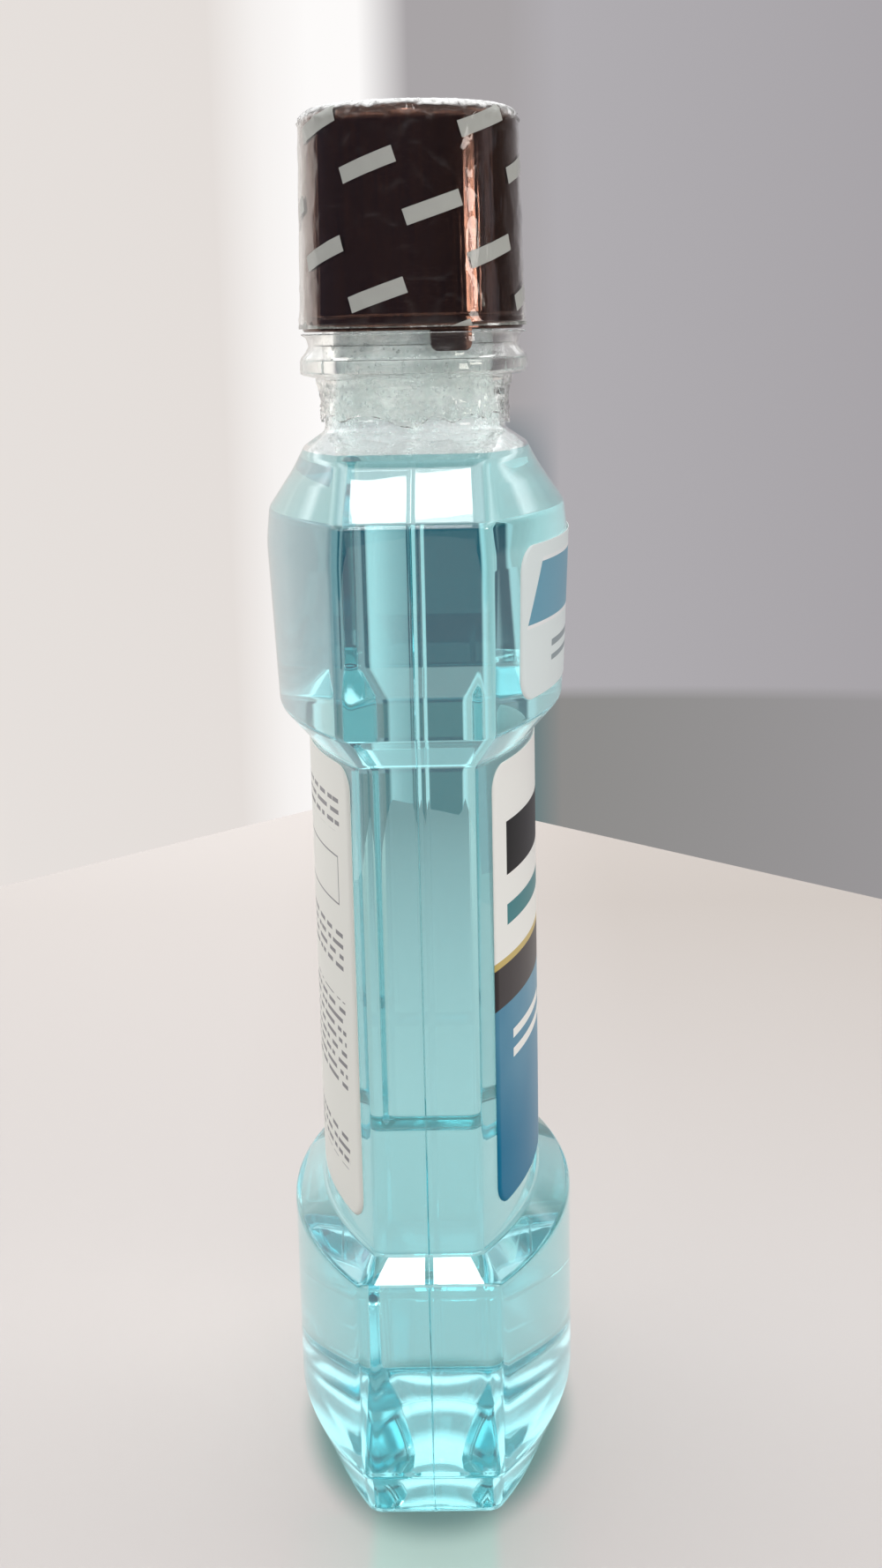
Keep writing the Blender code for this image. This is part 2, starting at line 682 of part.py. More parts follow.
def main() -> None:
    """Builds every piece at rest, with the cap closed."""
    for old in list(bpy.data.objects):
        bpy.data.objects.remove(old)
    group = collection("mouthwash_bottle")
    helpers = collection("cutters")
    surface = body_surface(helpers)
    print_film = material("sleeve_film", (0.75, 0.76, 0.76), 0.2, clear=0.8)
    pieces = [
        bottle(group, helpers, surface),
        mouthwash(group, surface),
        cap(group, helpers),
        seal_ring(group),
        sleeve_top(group, print_film),
        sleeve_skirt(group, print_film),
        *labels(group, helpers),
    ]
    for piece in pieces:
        shade(piece)


main()
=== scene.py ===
"""Dressed model of a waisted mouthwash bottle with a dosing cap, a shrink sleeve and three labels.

Everything is in metres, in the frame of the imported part: +Z up, the foot on Z = 0, X across the bottle's
width and the front label towards -Y. The camera looks along +X at the bottle's narrow side.
"""

from __future__ import annotations

import functools
import logging
import math
import random
from dataclasses import dataclass, replace
from enum import Enum

import bmesh
import bpy
import numpy as np
from mathutils import Matrix, Vector, noise

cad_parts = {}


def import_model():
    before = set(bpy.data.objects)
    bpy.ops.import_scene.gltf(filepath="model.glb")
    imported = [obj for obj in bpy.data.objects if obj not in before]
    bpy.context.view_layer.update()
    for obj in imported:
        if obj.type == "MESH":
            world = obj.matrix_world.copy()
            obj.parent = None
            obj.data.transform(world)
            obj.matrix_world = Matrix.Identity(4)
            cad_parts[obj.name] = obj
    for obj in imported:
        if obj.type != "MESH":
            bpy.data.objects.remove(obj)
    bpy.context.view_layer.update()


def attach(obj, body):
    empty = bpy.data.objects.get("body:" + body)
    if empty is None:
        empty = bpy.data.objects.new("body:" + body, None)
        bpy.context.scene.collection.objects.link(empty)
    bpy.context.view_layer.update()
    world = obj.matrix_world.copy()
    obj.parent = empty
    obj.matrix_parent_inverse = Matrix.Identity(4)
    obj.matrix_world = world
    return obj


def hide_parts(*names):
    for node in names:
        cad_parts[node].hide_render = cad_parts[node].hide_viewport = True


LOG = logging.getLogger("bottle")

MM = 0.001

Socket = bpy.types.NodeSocket
Colour = tuple[float, float, float, float]
Value = Socket | Colour | float
Span = tuple[float, float]
Point = tuple[float, float, float]
Stop = tuple[float, str]
Ball = tuple[float, float, float, float]
Fold = tuple[float, float, float, float]


class Body(Enum):
    """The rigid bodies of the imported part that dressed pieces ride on."""

    BOTTLE = "bottle_body"
    CAP = "cap_body"


class Slot(Enum):
    """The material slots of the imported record."""

    PET = "clear_pet"
    LIQUID = "teal_liquid"
    CAP = "dark_cap_plastic"
    SLEEVE = "sleeve_film"
    FRONT = "front_label_film"
    BACK = "back_label_film"
    SHOULDER = "shoulder_label_film"


def linear(code: str) -> Colour:
    """Turns an sRGB hex colour to linear light.

    Args:
        code: The colour as #rrggbb.

    Returns:
        Red, green, blue and full alpha, each from 0 to 1.
    """
    values = [int(code[i : i + 2], 16) / 255 for i in (1, 3, 5)]
    light = [v / 12.92 if v <= 0.04045 else ((v + 0.055) / 1.055) ** 2.4 for v in values]
    return (light[0], light[1], light[2], 1.0)


def add_node(
    tree: bpy.types.NodeTree, kind: str, inputs: dict | None = None, **settings: object
) -> bpy.types.Node:
    """Adds a node with its settings and links.

    Args:
        tree: The node tree that gets the node.
        kind: Blender's name of the node type.
        inputs: Values or sockets to link, by the input's name or number.
        **settings: Properties of the node. stops fills a colour ramp with (position, hex colour) pairs.

    Returns:
        The new node.
    """
    node = tree.nodes.new(kind)
    stops = settings.pop("stops", None)
    for name, value in settings.items():
        setattr(node, name, value)
    if stops:
        elements = node.color_ramp.elements
        while len(elements) < len(stops):
            elements.new(1.0)
        for element, (position, code) in zip(elements, stops):
            element.position = position
            element.color = linear(code)
    for key, value in (inputs or {}).items():
        if isinstance(value, Socket):
            tree.links.new(value, node.inputs[key])
        else:
            node.inputs[key].default_value = value
    return node


class Graph:
    """A node tree, with short ways to add the nodes that the finishes and the room share."""

    def __init__(self, tree: bpy.types.NodeTree) -> None:
        """Keeps the tree that the nodes go into."""
        self.tree = tree

    def node(self, kind: str, inputs: dict | None = None, **settings: object) -> bpy.types.Node:
        """Adds a node to the tree, as add_node does."""
        return add_node(self.tree, kind, inputs, **settings)

    def step(self, operation: str, *values: Value) -> Socket:
        """Works out one arithmetic step of up to three numbers or sockets."""
        return self.node("ShaderNodeMath", dict(enumerate(values)), operation=operation).outputs[0]

    def times(self, *values: Value) -> Socket:
        """Multiplies two or more numbers or sockets."""
        return functools.reduce(lambda product, value: self.step("MULTIPLY", product, value), values)

    def fade(
        self, value: Value, start: float, end: float, to: Span = (0.0, 1.0), soft: bool = False
    ) -> Socket:
        """Turns a value to how far it is from start to end, held at both.

        Args:
            value: The value's socket.
            start: The value where the result is the first of to.
            end: The value where it is the last of to.
            to: The result at start and at end.
            soft: Whether the result sets out and arrives gently.

        Returns:
            The result's socket.
        """
        inputs = {0: value, 1: start, 2: end, 3: to[0], 4: to[1]}
        kind = "SMOOTHSTEP" if soft else "LINEAR"
        return self.node("ShaderNodeMapRange", inputs, interpolation_type=kind).outputs[0]

    def over(self, mask: Value, below: Value, above: Value) -> Socket:
        """Lays one colour over another where the mask is 1.

        Args:
            mask: The mask's socket.
            below: The colour or socket underneath.
            above: The colour or socket on top.

        Returns:
            The mixed colour's socket.
        """
        return self.node("ShaderNodeMix", {0: mask, 6: below, 7: above}, data_type="RGBA").outputs[2]


@dataclass(frozen=True)
class Patch:
    """A rectangle of ink in millimetres: left and right along X, low and high along Z."""

    left: float
    right: float
    low: float
    high: float
    ink: str = "#ffffff"


class Canvas(Graph):
    """A material's node tree with one Principled shader, and the few patterns that the finishes share."""

    INPUTS = {"ior": "IOR", "through": "Transmission Weight", "cover": "Alpha", "metal": "Metallic"}

    def __init__(self, name: str) -> None:
        """Makes the material.

        Args:
            name: The material's name.
        """
        self.material = bpy.data.materials.new(name)
        self.material.use_nodes = True
        super().__init__(self.material.node_tree)
        self.shader = self.tree.nodes["Principled BSDF"]
        self.output = self.tree.nodes["Material Output"]
        self.place = self.node("ShaderNodeTexCoord").outputs["Object"]
        self.x, self.y, self.z = self.node("ShaderNodeSeparateXYZ", {0: self.place}).outputs

    def box(self, patch: Patch) -> Socket:
        """A mask that is 1 inside a rectangle.

        Args:
            patch: The rectangle.

        Returns:
            The mask's socket.
        """
        left, right, low, high = (side * MM for side in (patch.left, patch.right, patch.low, patch.high))
        inside_x = self.step("COMPARE", self.x, (left + right) / 2, (right - left) / 2)
        inside_z = self.step("COMPARE", self.z, (low + high) / 2, (high - low) / 2)
        return self.times(inside_x, inside_z)

    def printed(self, colour: Value, *patches: Patch) -> Value:
        """Prints patches over a colour, one after the other.

        Args:
            colour: The colour or socket underneath.
            *patches: The rectangles of ink.

        Returns:
            The printed colour.
        """
        for patch in patches:
            colour = self.over(self.box(patch), colour, linear(patch.ink))
        return colour

    def speckle(self, size: float, detail: float = 2.0, stretch: Point = (1.0, 1.0, 1.0)) -> Socket:
        """Noise from 0 to 1 with lumps of a real size.

        Args:
            size: The lumps' size in metres.
            detail: How many finer layers the noise has.
            stretch: Share of the fineness along X, Y and Z.

        Returns:
            The noise's socket.
        """
        scaled = self.node("ShaderNodeMapping", {0: self.place, 3: stretch}).outputs[0]
        inputs = {"Vector": scaled, "Scale": 1 / size, "Detail": detail}
        return self.node("ShaderNodeTexNoise", inputs).outputs[0]

    def cells(self, size: float) -> Socket:
        """Distance from the middle of the nearest cell, for cells of a real size."""
        return self.node("ShaderNodeTexVoronoi", {"Vector": self.place, "Scale": 1 / size}).outputs[0]

    def bump(self, height: Socket, distance: float) -> None:
        """Adds bump to the shader.

        Args:
            height: The height's socket, from 0 to 1.
            distance: The real height in metres where it is 1.
        """
        bump = self.node("ShaderNodeBump", {"Height": height, "Distance": distance, "Strength": 1.0})
        self.tree.links.new(bump.outputs[0], self.shader.inputs["Normal"])

    def surface(self, colour: Value, roughness: float, **others: Value) -> bpy.types.Material:
        """Sets the shader's inputs.

        Args:
            colour: The base colour or its socket.
            roughness: The roughness.
            **others: Any of ior, through for transmission, cover for alpha, and metal.

        Returns:
            The finished material.
        """
        values = {"Base Color": colour, "Roughness": roughness}
        values |= {self.INPUTS[name]: value for name, value in others.items()}
        for name, value in values.items():
            if isinstance(value, Socket):
                self.tree.links.new(value, self.shader.inputs[name])
            else:
                self.shader.inputs[name].default_value = value
        return self.material


@dataclass(frozen=True)
class BlownPet:
    """Blow-moulded PET: glass-clear and glossy, with the faint waves of a wall that cooled in its mould."""

    tint: str = "#fafcfc"
    ior: float = 1.57
    wave_size: float = 9.0 * MM
    wave_height: float = 0.006 * MM

    def make(self) -> bpy.types.Material:
        """Makes the material.

        Returns:
            The material.
        """
        canvas = Canvas("blow_moulded_pet")
        canvas.bump(canvas.speckle(self.wave_size, 1.0), self.wave_height)
        return canvas.surface(linear(self.tint), 0.0, ior=self.ior, through=1.0)


@dataclass(frozen=True)
class DyedWater:
    """Water with alcohol and a teal dye, which takes the red out of the light over some centimetres."""

    ior: float = 1.34
    passed: str = "#6aeef4"
    density: float = 12.0

    def make(self) -> bpy.types.Material:
        """Makes the material.

        Returns:
            The material.
        """
        canvas = Canvas("dyed_water")
        inputs = {"Color": linear(self.passed), "Density": self.density}
        dye = canvas.node("ShaderNodeVolumeAbsorption", inputs)
        canvas.tree.links.new(dye.outputs[0], canvas.output.inputs["Volume"])
        return canvas.surface(linear("#ffffff"), 0.0, ior=self.ior, through=1.0)


@dataclass(frozen=True)
class Froth:
    """Foam of dyed water: a heap of tiny bubbles, which scatter the light both ways and look cloudy white."""

    rim: str = "#ffffff"
    middle: str = "#f4fbfa"
    roughness: float = 0.65
    ior: float = 1.15
    through: float = 0.3
    cell: float = 0.8 * MM
    swell: float = 0.25 * MM

    def make(self) -> bpy.types.Material:
        """Makes the material.

        Returns:
            The material.
        """
        canvas = Canvas("water_froth")
        cells = canvas.cells(self.cell)
        canvas.bump(cells, self.swell)
        colour = canvas.over(cells, linear(self.rim), linear(self.middle))
        return canvas.surface(colour, self.roughness, ior=self.ior, through=self.through)


@dataclass(frozen=True)
class Mist:
    """Condensed droplets on the inside of the neck: a pale, uneven veil that light shines through."""

    rim: str = "#f8fdfb"
    middle: str = "#dcebe8"
    roughness: float = 0.5
    ior: float = 1.2
    through: float = 0.4
    drop: float = 0.7 * MM
    swell: float = 0.2 * MM
    cloud: float = 5.0 * MM
    cloud_range: Span = (0.35, 0.65)
    cover: Span = (0.15, 0.6)

    def make(self) -> bpy.types.Material:
        """Makes the material.

        Returns:
            The material.
        """
        canvas = Canvas("condensed_droplets")
        drops = canvas.cells(self.drop)
        canvas.bump(drops, self.swell)
        cover = canvas.fade(canvas.speckle(self.cloud, 3.0), *self.cloud_range, self.cover)
        colour = canvas.over(drops, linear(self.rim), linear(self.middle))
        return canvas.surface(colour, self.roughness, ior=self.ior, through=self.through, cover=cover)


@dataclass(frozen=True)
class BubbleWalls:
    """Soap-thin bubble walls: nearly clear, with a wet gloss."""

    thin: str = "#fbfffe"
    thick: str = "#e6f3f1"
    roughness: float = 0.12
    through: float = 0.3
    cover: float = 0.5
    streak: float = 0.5 * MM

    def make(self) -> bpy.types.Material:
        """Makes the material.

        Returns:
            The material.
        """
        canvas = Canvas("bubble_walls")
        colour = canvas.over(canvas.speckle(self.streak), linear(self.thin), linear(self.thick))
        return canvas.surface(colour, self.roughness, through=self.through, cover=self.cover)


@dataclass(frozen=True)
class BrownPearlPlastic:
    """Injection-moulded polypropylene with brown mica flakes, which give a near-black body a copper gloss."""

    body: str = "#2b242a"
    flake: str = "#6a4836"
    metal: float = 0.9
    roughness: float = 0.09
    streak: float = 0.5 * MM
    streak_fineness: Point = (1.0, 1.0, 0.04)
    flow: float = 0.8 * MM
    flow_fineness: Point = (1.0, 1.0, 0.15)
    flow_height: float = 0.02 * MM

    def make(self) -> bpy.types.Material:
        """Makes the material.

        Returns:
            The material.
        """
        canvas = Canvas("moulded_pearl_polypropylene")
        canvas.bump(canvas.speckle(self.flow, 2.0, self.flow_fineness), self.flow_height)
        streaks = canvas.speckle(self.streak, 2.0, self.streak_fineness)
        colour = canvas.over(streaks, linear(self.body), linear(self.flake))
        return canvas.surface(colour, self.roughness, metal=self.metal)


@dataclass(frozen=True)
class FoamedLiner:
    """Foamed polyethylene, die-cut: off-white, soft and finely pored."""

    foam: str = "#e3e4df"
    hollow: str = "#cfd1cb"
    roughness: float = 0.75
    pore: float = 0.25 * MM
    pore_depth: float = 0.04 * MM

    def make(self) -> bpy.types.Material:
        """Makes the material.

        Returns:
            The material.
        """
        canvas = Canvas("foamed_polyethylene")
        pores = canvas.speckle(self.pore, 3.0)
        canvas.bump(pores, self.pore_depth)
        return canvas.surface(canvas.over(pores, linear(self.foam), linear(self.hollow)), self.roughness)


@dataclass(frozen=True)
class ClearShrinkFilm:
    """Heat-shrunk clear film: thin and glossy, with fine upright crinkles that catch the light."""

    tint: str = "#fbfbf9"
    roughness: float = 0.04
    ior: float = 1.28
    haze: float = 0.01
    crinkle: float = 1.4 * MM
    crinkle_fineness: Point = (1.0, 1.0, 0.25)
    crinkle_height: float = 0.06 * MM

    def crinkled(self, name: str) -> Canvas:
        """Starts a material that has the film's crinkles.

        Args:
            name: The material's name.

        Returns:
            The material's canvas.
        """
        canvas = Canvas(name)
        canvas.bump(canvas.speckle(self.crinkle, 3.0, self.crinkle_fineness), self.crinkle_height)
        return canvas

    def make(self) -> bpy.types.Material:
        """Makes the material.

        Returns:
            The material.
        """
        canvas = self.crinkled("clear_shrink_film")
        return canvas.surface(linear(self.tint), self.roughness, ior=self.ior, through=1.0 - self.haze)


@dataclass(frozen=True)
class PrintedShrinkFilm(ClearShrinkFilm):
    """The same film printed in light grey with slanting bars. On the folds over the cap's top it turns opaque
    near-white: a painted highlight for the light that the crumpled film catches.
    """

    crinkle_height: float = 0.045 * MM
    haze: float = 0.0
    ink: str = "#b4b5ae"
    radius: float = 18.4 * MM
    bar_width: float = 2.6 * MM
    row_pitch: float = 9.6 * MM
    bar_pitch: float = 21.0 * MM
    bar_share: float = 0.46
    stagger: float = 8.1 * MM
    slant: float = math.radians(18)
    # fold to ragged_height shape the painted highlight on the folds: where its mask is, the film is opaque
    # near-white.
    fold: float = 1.3 * MM
    fold_fineness: Point = (1.0, 1.0, 0.6)
    fold_range: Span = (0.36, 0.54)
    fold_highlight_cover: Span = (0.2, 0.9)
    fold_z: float = 234.9 * MM
    fold_edge: float = 0.6 * MM
    ragged: float = 4.0 * MM
    ragged_height: float = 2.4 * MM

    def make(self) -> bpy.types.Material:
        """Makes the material.

        Returns:
            The material.
        """
        canvas = self.crinkled("printed_shrink_film")
        bars = self.bars(canvas)
        colour = canvas.over(bars, linear(self.tint), linear(self.ink))
        # The bars and the painted fold highlight take the clearness away, so the film's near-white tint and
        # grey ink show there.
        hidden = canvas.step("MAXIMUM", bars, self.folds(canvas))
        through = canvas.step("SUBTRACT", 1.0 - self.haze, hidden)
        return canvas.surface(colour, self.roughness, ior=self.ior, through=through)

    def folds(self, canvas: Canvas) -> Socket:
        """The mask of the painted highlight on the folds at the top, where the film turns opaque near-white.

        Args:
            canvas: The material that they are drawn in.

        Returns:
            The mask's socket.
        """
        height = canvas.step("MULTIPLY_ADD", canvas.speckle(self.ragged), self.ragged_height, canvas.z)
        above = canvas.fade(height, self.fold_z, self.fold_z + self.fold_edge)
        folds = canvas.speckle(self.fold, 3.0, self.fold_fineness)
        return canvas.times(above, canvas.fade(folds, *self.fold_range, self.fold_highlight_cover))

    def bars(self, canvas: Canvas) -> Socket:
        """The mask of the slanting bars, rolled round the Z axis.

        Args:
            canvas: The material that they are drawn in.

        Returns:
            The mask's socket.
        """
        back_x, back_y = canvas.times(canvas.x, -1.0), canvas.times(canvas.y, -1.0)
        along = canvas.times(canvas.step("ARCTAN2", back_y, back_x), self.radius)
        cosine, sine = math.cos(self.slant), math.sin(self.slant)
        run = canvas.step("ADD", canvas.times(along, cosine), canvas.times(canvas.z, sine))
        rise = canvas.step("SUBTRACT", canvas.times(canvas.z, cosine), canvas.times(along, sine))
        row = canvas.step("DIVIDE", rise, self.row_pitch)
        shifted = canvas.step("MULTIPLY_ADD", canvas.step("FLOOR", row), self.stagger, run)
        place = canvas.step("FRACT", canvas.step("DIVIDE", shifted, self.bar_pitch))
        across = canvas.step("COMPARE", canvas.step("FRACT", row), 0.5, self.bar_width / self.row_pitch / 2)
        return canvas.times(across, canvas.step("COMPARE", place, 0.5, self.bar_share / 2))


@dataclass(frozen=True)
class LabelFilm:
    """Printed polypropylene film: satin, with the faint grain of the sheet. Each label has its own print."""

    name: str = "label_film"
    roughness: float = 0.3
    grain: float = 0.6 * MM
    grain_height: float = 0.006 * MM

    def make(self) -> bpy.types.Material:
        """Makes the material.

        Returns:
            The material.
        """
        canvas = Canvas(self.name)
        canvas.bump(canvas.speckle(self.grain), self.grain_height)
        return canvas.surface(self.artwork(canvas), self.roughness, **self.gloss())

    def artwork(self, canvas: Canvas) -> Value:
        """The print's colour: bare white film."""
        return linear("#ffffff")

    def gloss(self) -> dict[str, float]:
        """Shader inputs that this film needs besides its roughness."""
        return {}


@dataclass(frozen=True)
class FrontPrint(LabelFilm):
    """The front of the waist: white field, gold rule, charcoal band and blue field, under a thin varnish."""

    name: str = "front_label_print"
    varnish_ior: float = 1.18
    white: str = "#f5f5ef"
    gold: str = "#cdb56e"
    black: str = "#050505"
    charcoal: str = "#3c3738"
    deep_blue: str = "#0c7398"
    pale_blue: str = "#92bccb"
    teal: str = "#3f8388"
    blue_z: Span = (56 * MM, 91 * MM)
    blue_slope: float = 9.0
    cloud: float = 14 * MM

    def artwork(self, canvas: Canvas) -> Value:
        """The print's colour.

        Args:
            canvas: The material that it is drawn in.

        Returns:
            The colour's socket.
        """
        slope = canvas.step("MULTIPLY_ADD", canvas.x, self.blue_slope, canvas.fade(canvas.z, *self.blue_z))
        lit = canvas.times(slope, canvas.speckle(self.cloud, 1.0))
        return canvas.printed(
            canvas.over(lit, linear(self.deep_blue), linear(self.pale_blue)),
            Patch(-40, 40, 91, 98, self.charcoal),
            Patch(-40, 40, 98, 99.2, self.gold),
            Patch(-40, 40, 99.2, 140, self.white),
            Patch(-29, 8, 113, 122, self.black),
            Patch(-29, -2, 104.5, 108, self.teal),
            Patch(2, 20, 104.5, 108, self.teal),
            Patch(-27, -6, 84, 85.6, self.white),
            Patch(-27, 3, 80.6, 82.2, self.white),
        )

    def gloss(self) -> dict[str, float]:
        """The varnish's refraction, which keeps the grazing shine low."""
        return {"ior": self.varnish_ior}


@dataclass(frozen=True)
class BackPrint(LabelFilm):
    """The back of the waist: off-white, with rows of fine grey bars and a ruled box."""

    name: str = "back_label_print"
    roughness: float = 0.4
    white: str = "#e6e7df"
    ink: str = "#77777a"
    row_pitch: float = 1.9 * MM
    row_half: float = 0.2
    bar: float = 2.6 * MM
    bar_from: float = 0.42
    row_shift: float = 31.7
    blocks: tuple[Patch, ...] = (
        Patch(-31, 31, 62, 68),
        Patch(-31, 31, 76, 92),
        Patch(-31, 31, 97, 104),
        Patch(-31, 31, 121, 127),
    )
    frame: tuple[Patch, Patch] = (Patch(-30, 30, 108.6, 117), Patch(-29.7, 29.7, 108.9, 116.7))

    def artwork(self, canvas: Canvas) -> Value:
        """The print's colour.

        Args:
            canvas: The material that it is drawn in.

        Returns:
            The colour's socket.
        """
        row = canvas.step("DIVIDE", canvas.z, self.row_pitch)
        line = canvas.step("COMPARE", canvas.step("FRACT", row), 0.5, self.row_half)
        along = canvas.step("DIVIDE", canvas.x, self.bar)
        shifted = canvas.step("MULTIPLY_ADD", canvas.step("FLOOR", row), self.row_shift, along)
        inputs = {"W": shifted, "Scale": 1.0, "Detail": 0.0}
        lengths = canvas.node("ShaderNodeTexNoise", inputs, noise_dimensions="1D")
        bars = canvas.times(line, canvas.step("GREATER_THAN", lengths.outputs[0], self.bar_from))
        colour = linear(self.white)
        for block in self.blocks:
            colour = canvas.over(canvas.times(bars, canvas.box(block)), colour, linear(self.ink))
        outer, inner = self.frame
        rules = canvas.step("SUBTRACT", canvas.box(outer), canvas.box(inner))
        return canvas.over(rules, colour, linear(self.ink))


@dataclass(frozen=True)
class ShoulderPrint(LabelFilm):
    """The front of the head: a blue band with a slanting end, on a pale field with two rules."""

    name: str = "shoulder_label_print"
    blue: str = "#5f9fb6"
    pale: str = "#e6f0ee"
    rim: str = "#f1f4f2"
    rule: str = "#8b9a9e"
    lean: float = -0.55
    lean_from: float = -118 * MM

    def artwork(self, canvas: Canvas) -> Value:
        """The print's colour.

        Args:
            canvas: The material that it is drawn in.

        Returns:
            The colour's socket.
        """
        slant = canvas.step("MULTIPLY_ADD", canvas.z, self.lean, canvas.x)
        after = canvas.step("GREATER_THAN", slant, self.lean_from)
        colour = linear(self.pale)
        for patch in (Patch(-50, 50, 153.9, 164.6, self.rim), Patch(-50, 50, 154.5, 164, self.blue)):
            colour = canvas.over(canvas.times(after, canvas.box(patch)), colour, linear(patch.ink))
        rules = [Patch(-22, 24, low, high, self.rule) for low, high in ((149.5, 150.6), (147.2, 148.1))]
        return canvas.printed(colour, *rules)


@dataclass(frozen=True)
class LabelBacking:
    """The glued side of a printed film: plain white, which shows through the bottle."""

    tint: str = "#e9ecea"
    fibre_tint: str = "#dfe4e2"
    roughness: float = 0.5
    fibre: float = 1.5 * MM

    def make(self) -> bpy.types.Material:
        """Makes the material.

        Returns:
            The material.
        """
        canvas = Canvas("label_backing")
        colour = canvas.over(canvas.speckle(self.fibre), linear(self.tint), linear(self.fibre_tint))
        return canvas.surface(colour, self.roughness)


@dataclass(frozen=True)
class PaintedTable:
    """A matt grey-beige painted board, with a painted teal pool of light and a painted shade round its foot,
    which stand in for the light and shade that the bottle throws.

    Painted shade darkens it with distance, most of all right behind the bottle, where only the bottle's waist
    shows it.
    """

    tint: str = "#bcb6b3"
    # Painted shade: the board darkens to far from far_x's start to its end, less towards +Y as side_y and
    # side_share set.
    far: str = "#a29a94"
    far_x: Span = (20 * MM, 320 * MM)
    side_y: Span = (-60 * MM, 60 * MM)
    side_share: Span = (1.0, 0.45)
    # Painted shade right behind the bottle: the board darkens to hidden over hidden_x, in the strip that
    # hidden_slope, eye_x and eye_turn mark out.
    hidden: str = "#656868"
    hidden_x: Span = (171 * MM, 470 * MM)
    hidden_slope: Span = (0.057, 0.043)
    eye_x: float = -328 * MM
    eye_turn: float = -0.0252
    # Painted shadow: the oval round the foot turns to shade, fading out over the shares of foot that
    # foot_edge gives.
    shade: str = "#6a8884"
    foot: Span = (43.4 * MM, 25.3 * MM)
    foot_edge: Span = (1.07, 0.82)
    # Painted light: the teal pool of light in front of the foot, where light through the bottle would fall;
    # light_from to glow_share shape it.
    light: str = "#a9c0b8"
    light_from: float = -33.0 * MM
    light_front: float = 4 * MM
    light_fade: Span = (-95 * MM, -50 * MM)
    light_half: float = 10.5 * MM
    light_edge: float = 1.5 * MM
    glow_y: Span = (26 * MM, 8 * MM)
    glow_share: float = 0.35
    roughness: float = 0.6
    grain: float = 0.5 * MM
    grain_height: float = 0.01 * MM

    def make(self) -> bpy.types.Material:
        """Makes the material.

        Returns:
            The material.
        """
        canvas = Canvas("painted_board")
        canvas.bump(canvas.speckle(self.grain, 3.0), self.grain_height)
        # Painted teal light in front of the foot, then painted shadow round it, over the painted falloff.
        lit = canvas.over(self.beam(canvas), self.distance(canvas), linear(self.light))
        return canvas.surface(canvas.over(self.under(canvas), lit, linear(self.shade)), self.roughness)

    def distance(self, canvas: Canvas) -> Socket:
        """The board's colour under painted shade, which darkens it from the near to the far side and most
        behind the bottle.

        Args:
            canvas: The material that it is drawn in.

        Returns:
            The colour's socket.
        """
        side = canvas.fade(canvas.y, *self.side_y, self.side_share)
        away = canvas.times(canvas.fade(canvas.x, *self.far_x), side)
        aside = canvas.step("ABSOLUTE", canvas.step("MULTIPLY_ADD", canvas.x, self.eye_turn, canvas.y))
        slope = canvas.step("DIVIDE", aside, canvas.step("SUBTRACT", canvas.x, self.eye_x))
        # Painted shade: the open board's falloff, and the darker strip behind the bottle.
        open_painted_shade = canvas.over(away, linear(self.tint), linear(self.far))
        behind = canvas.fade(canvas.x, *self.hidden_x)
        hidden_painted_shade = canvas.over(behind, linear(self.tint), linear(self.hidden))
        return canvas.over(canvas.fade(slope, *self.hidden_slope, soft=True), open_painted_shade, hidden_painted_shade)

    def under(self, canvas: Canvas) -> Socket:
        """The mask of the painted shadow, an oval round the foot.

        Args:
            canvas: The material that it is drawn in.

        Returns:
            The mask's socket.
        """
        reach_x, reach_y = self.foot
        across, deep = canvas.step("DIVIDE", canvas.x, reach_x), canvas.step("DIVIDE", canvas.y, reach_y)
        square = canvas.step("ADD", canvas.step("POWER", across, 2.0), canvas.step("POWER", deep, 2.0))
        return canvas.fade(canvas.step("SQRT", square), *self.foot_edge, soft=True)

    def beam(self, canvas: Canvas) -> Socket:
        """The mask of the painted teal light in front of the foot: a crisp beam in a wide glow.

        Args:
            canvas: The material that it is drawn in.

        Returns:
            The mask's socket.
        """
        ahead = canvas.fade(canvas.x, self.light_from, self.light_from - self.light_front)
        side = canvas.step("ABSOLUTE", canvas.y)
        dark, bright = self.light_half + self.light_edge, self.light_half - self.light_edge
        crisp = canvas.fade(side, dark, bright, soft=True)
        glow = canvas.times(canvas.fade(side, *self.glow_y), self.glow_share)
        spread = canvas.step("MULTIPLY_ADD", crisp, 1.0 - self.glow_share, glow)
        return canvas.times(ahead, canvas.fade(canvas.x, *self.light_fade), spread)


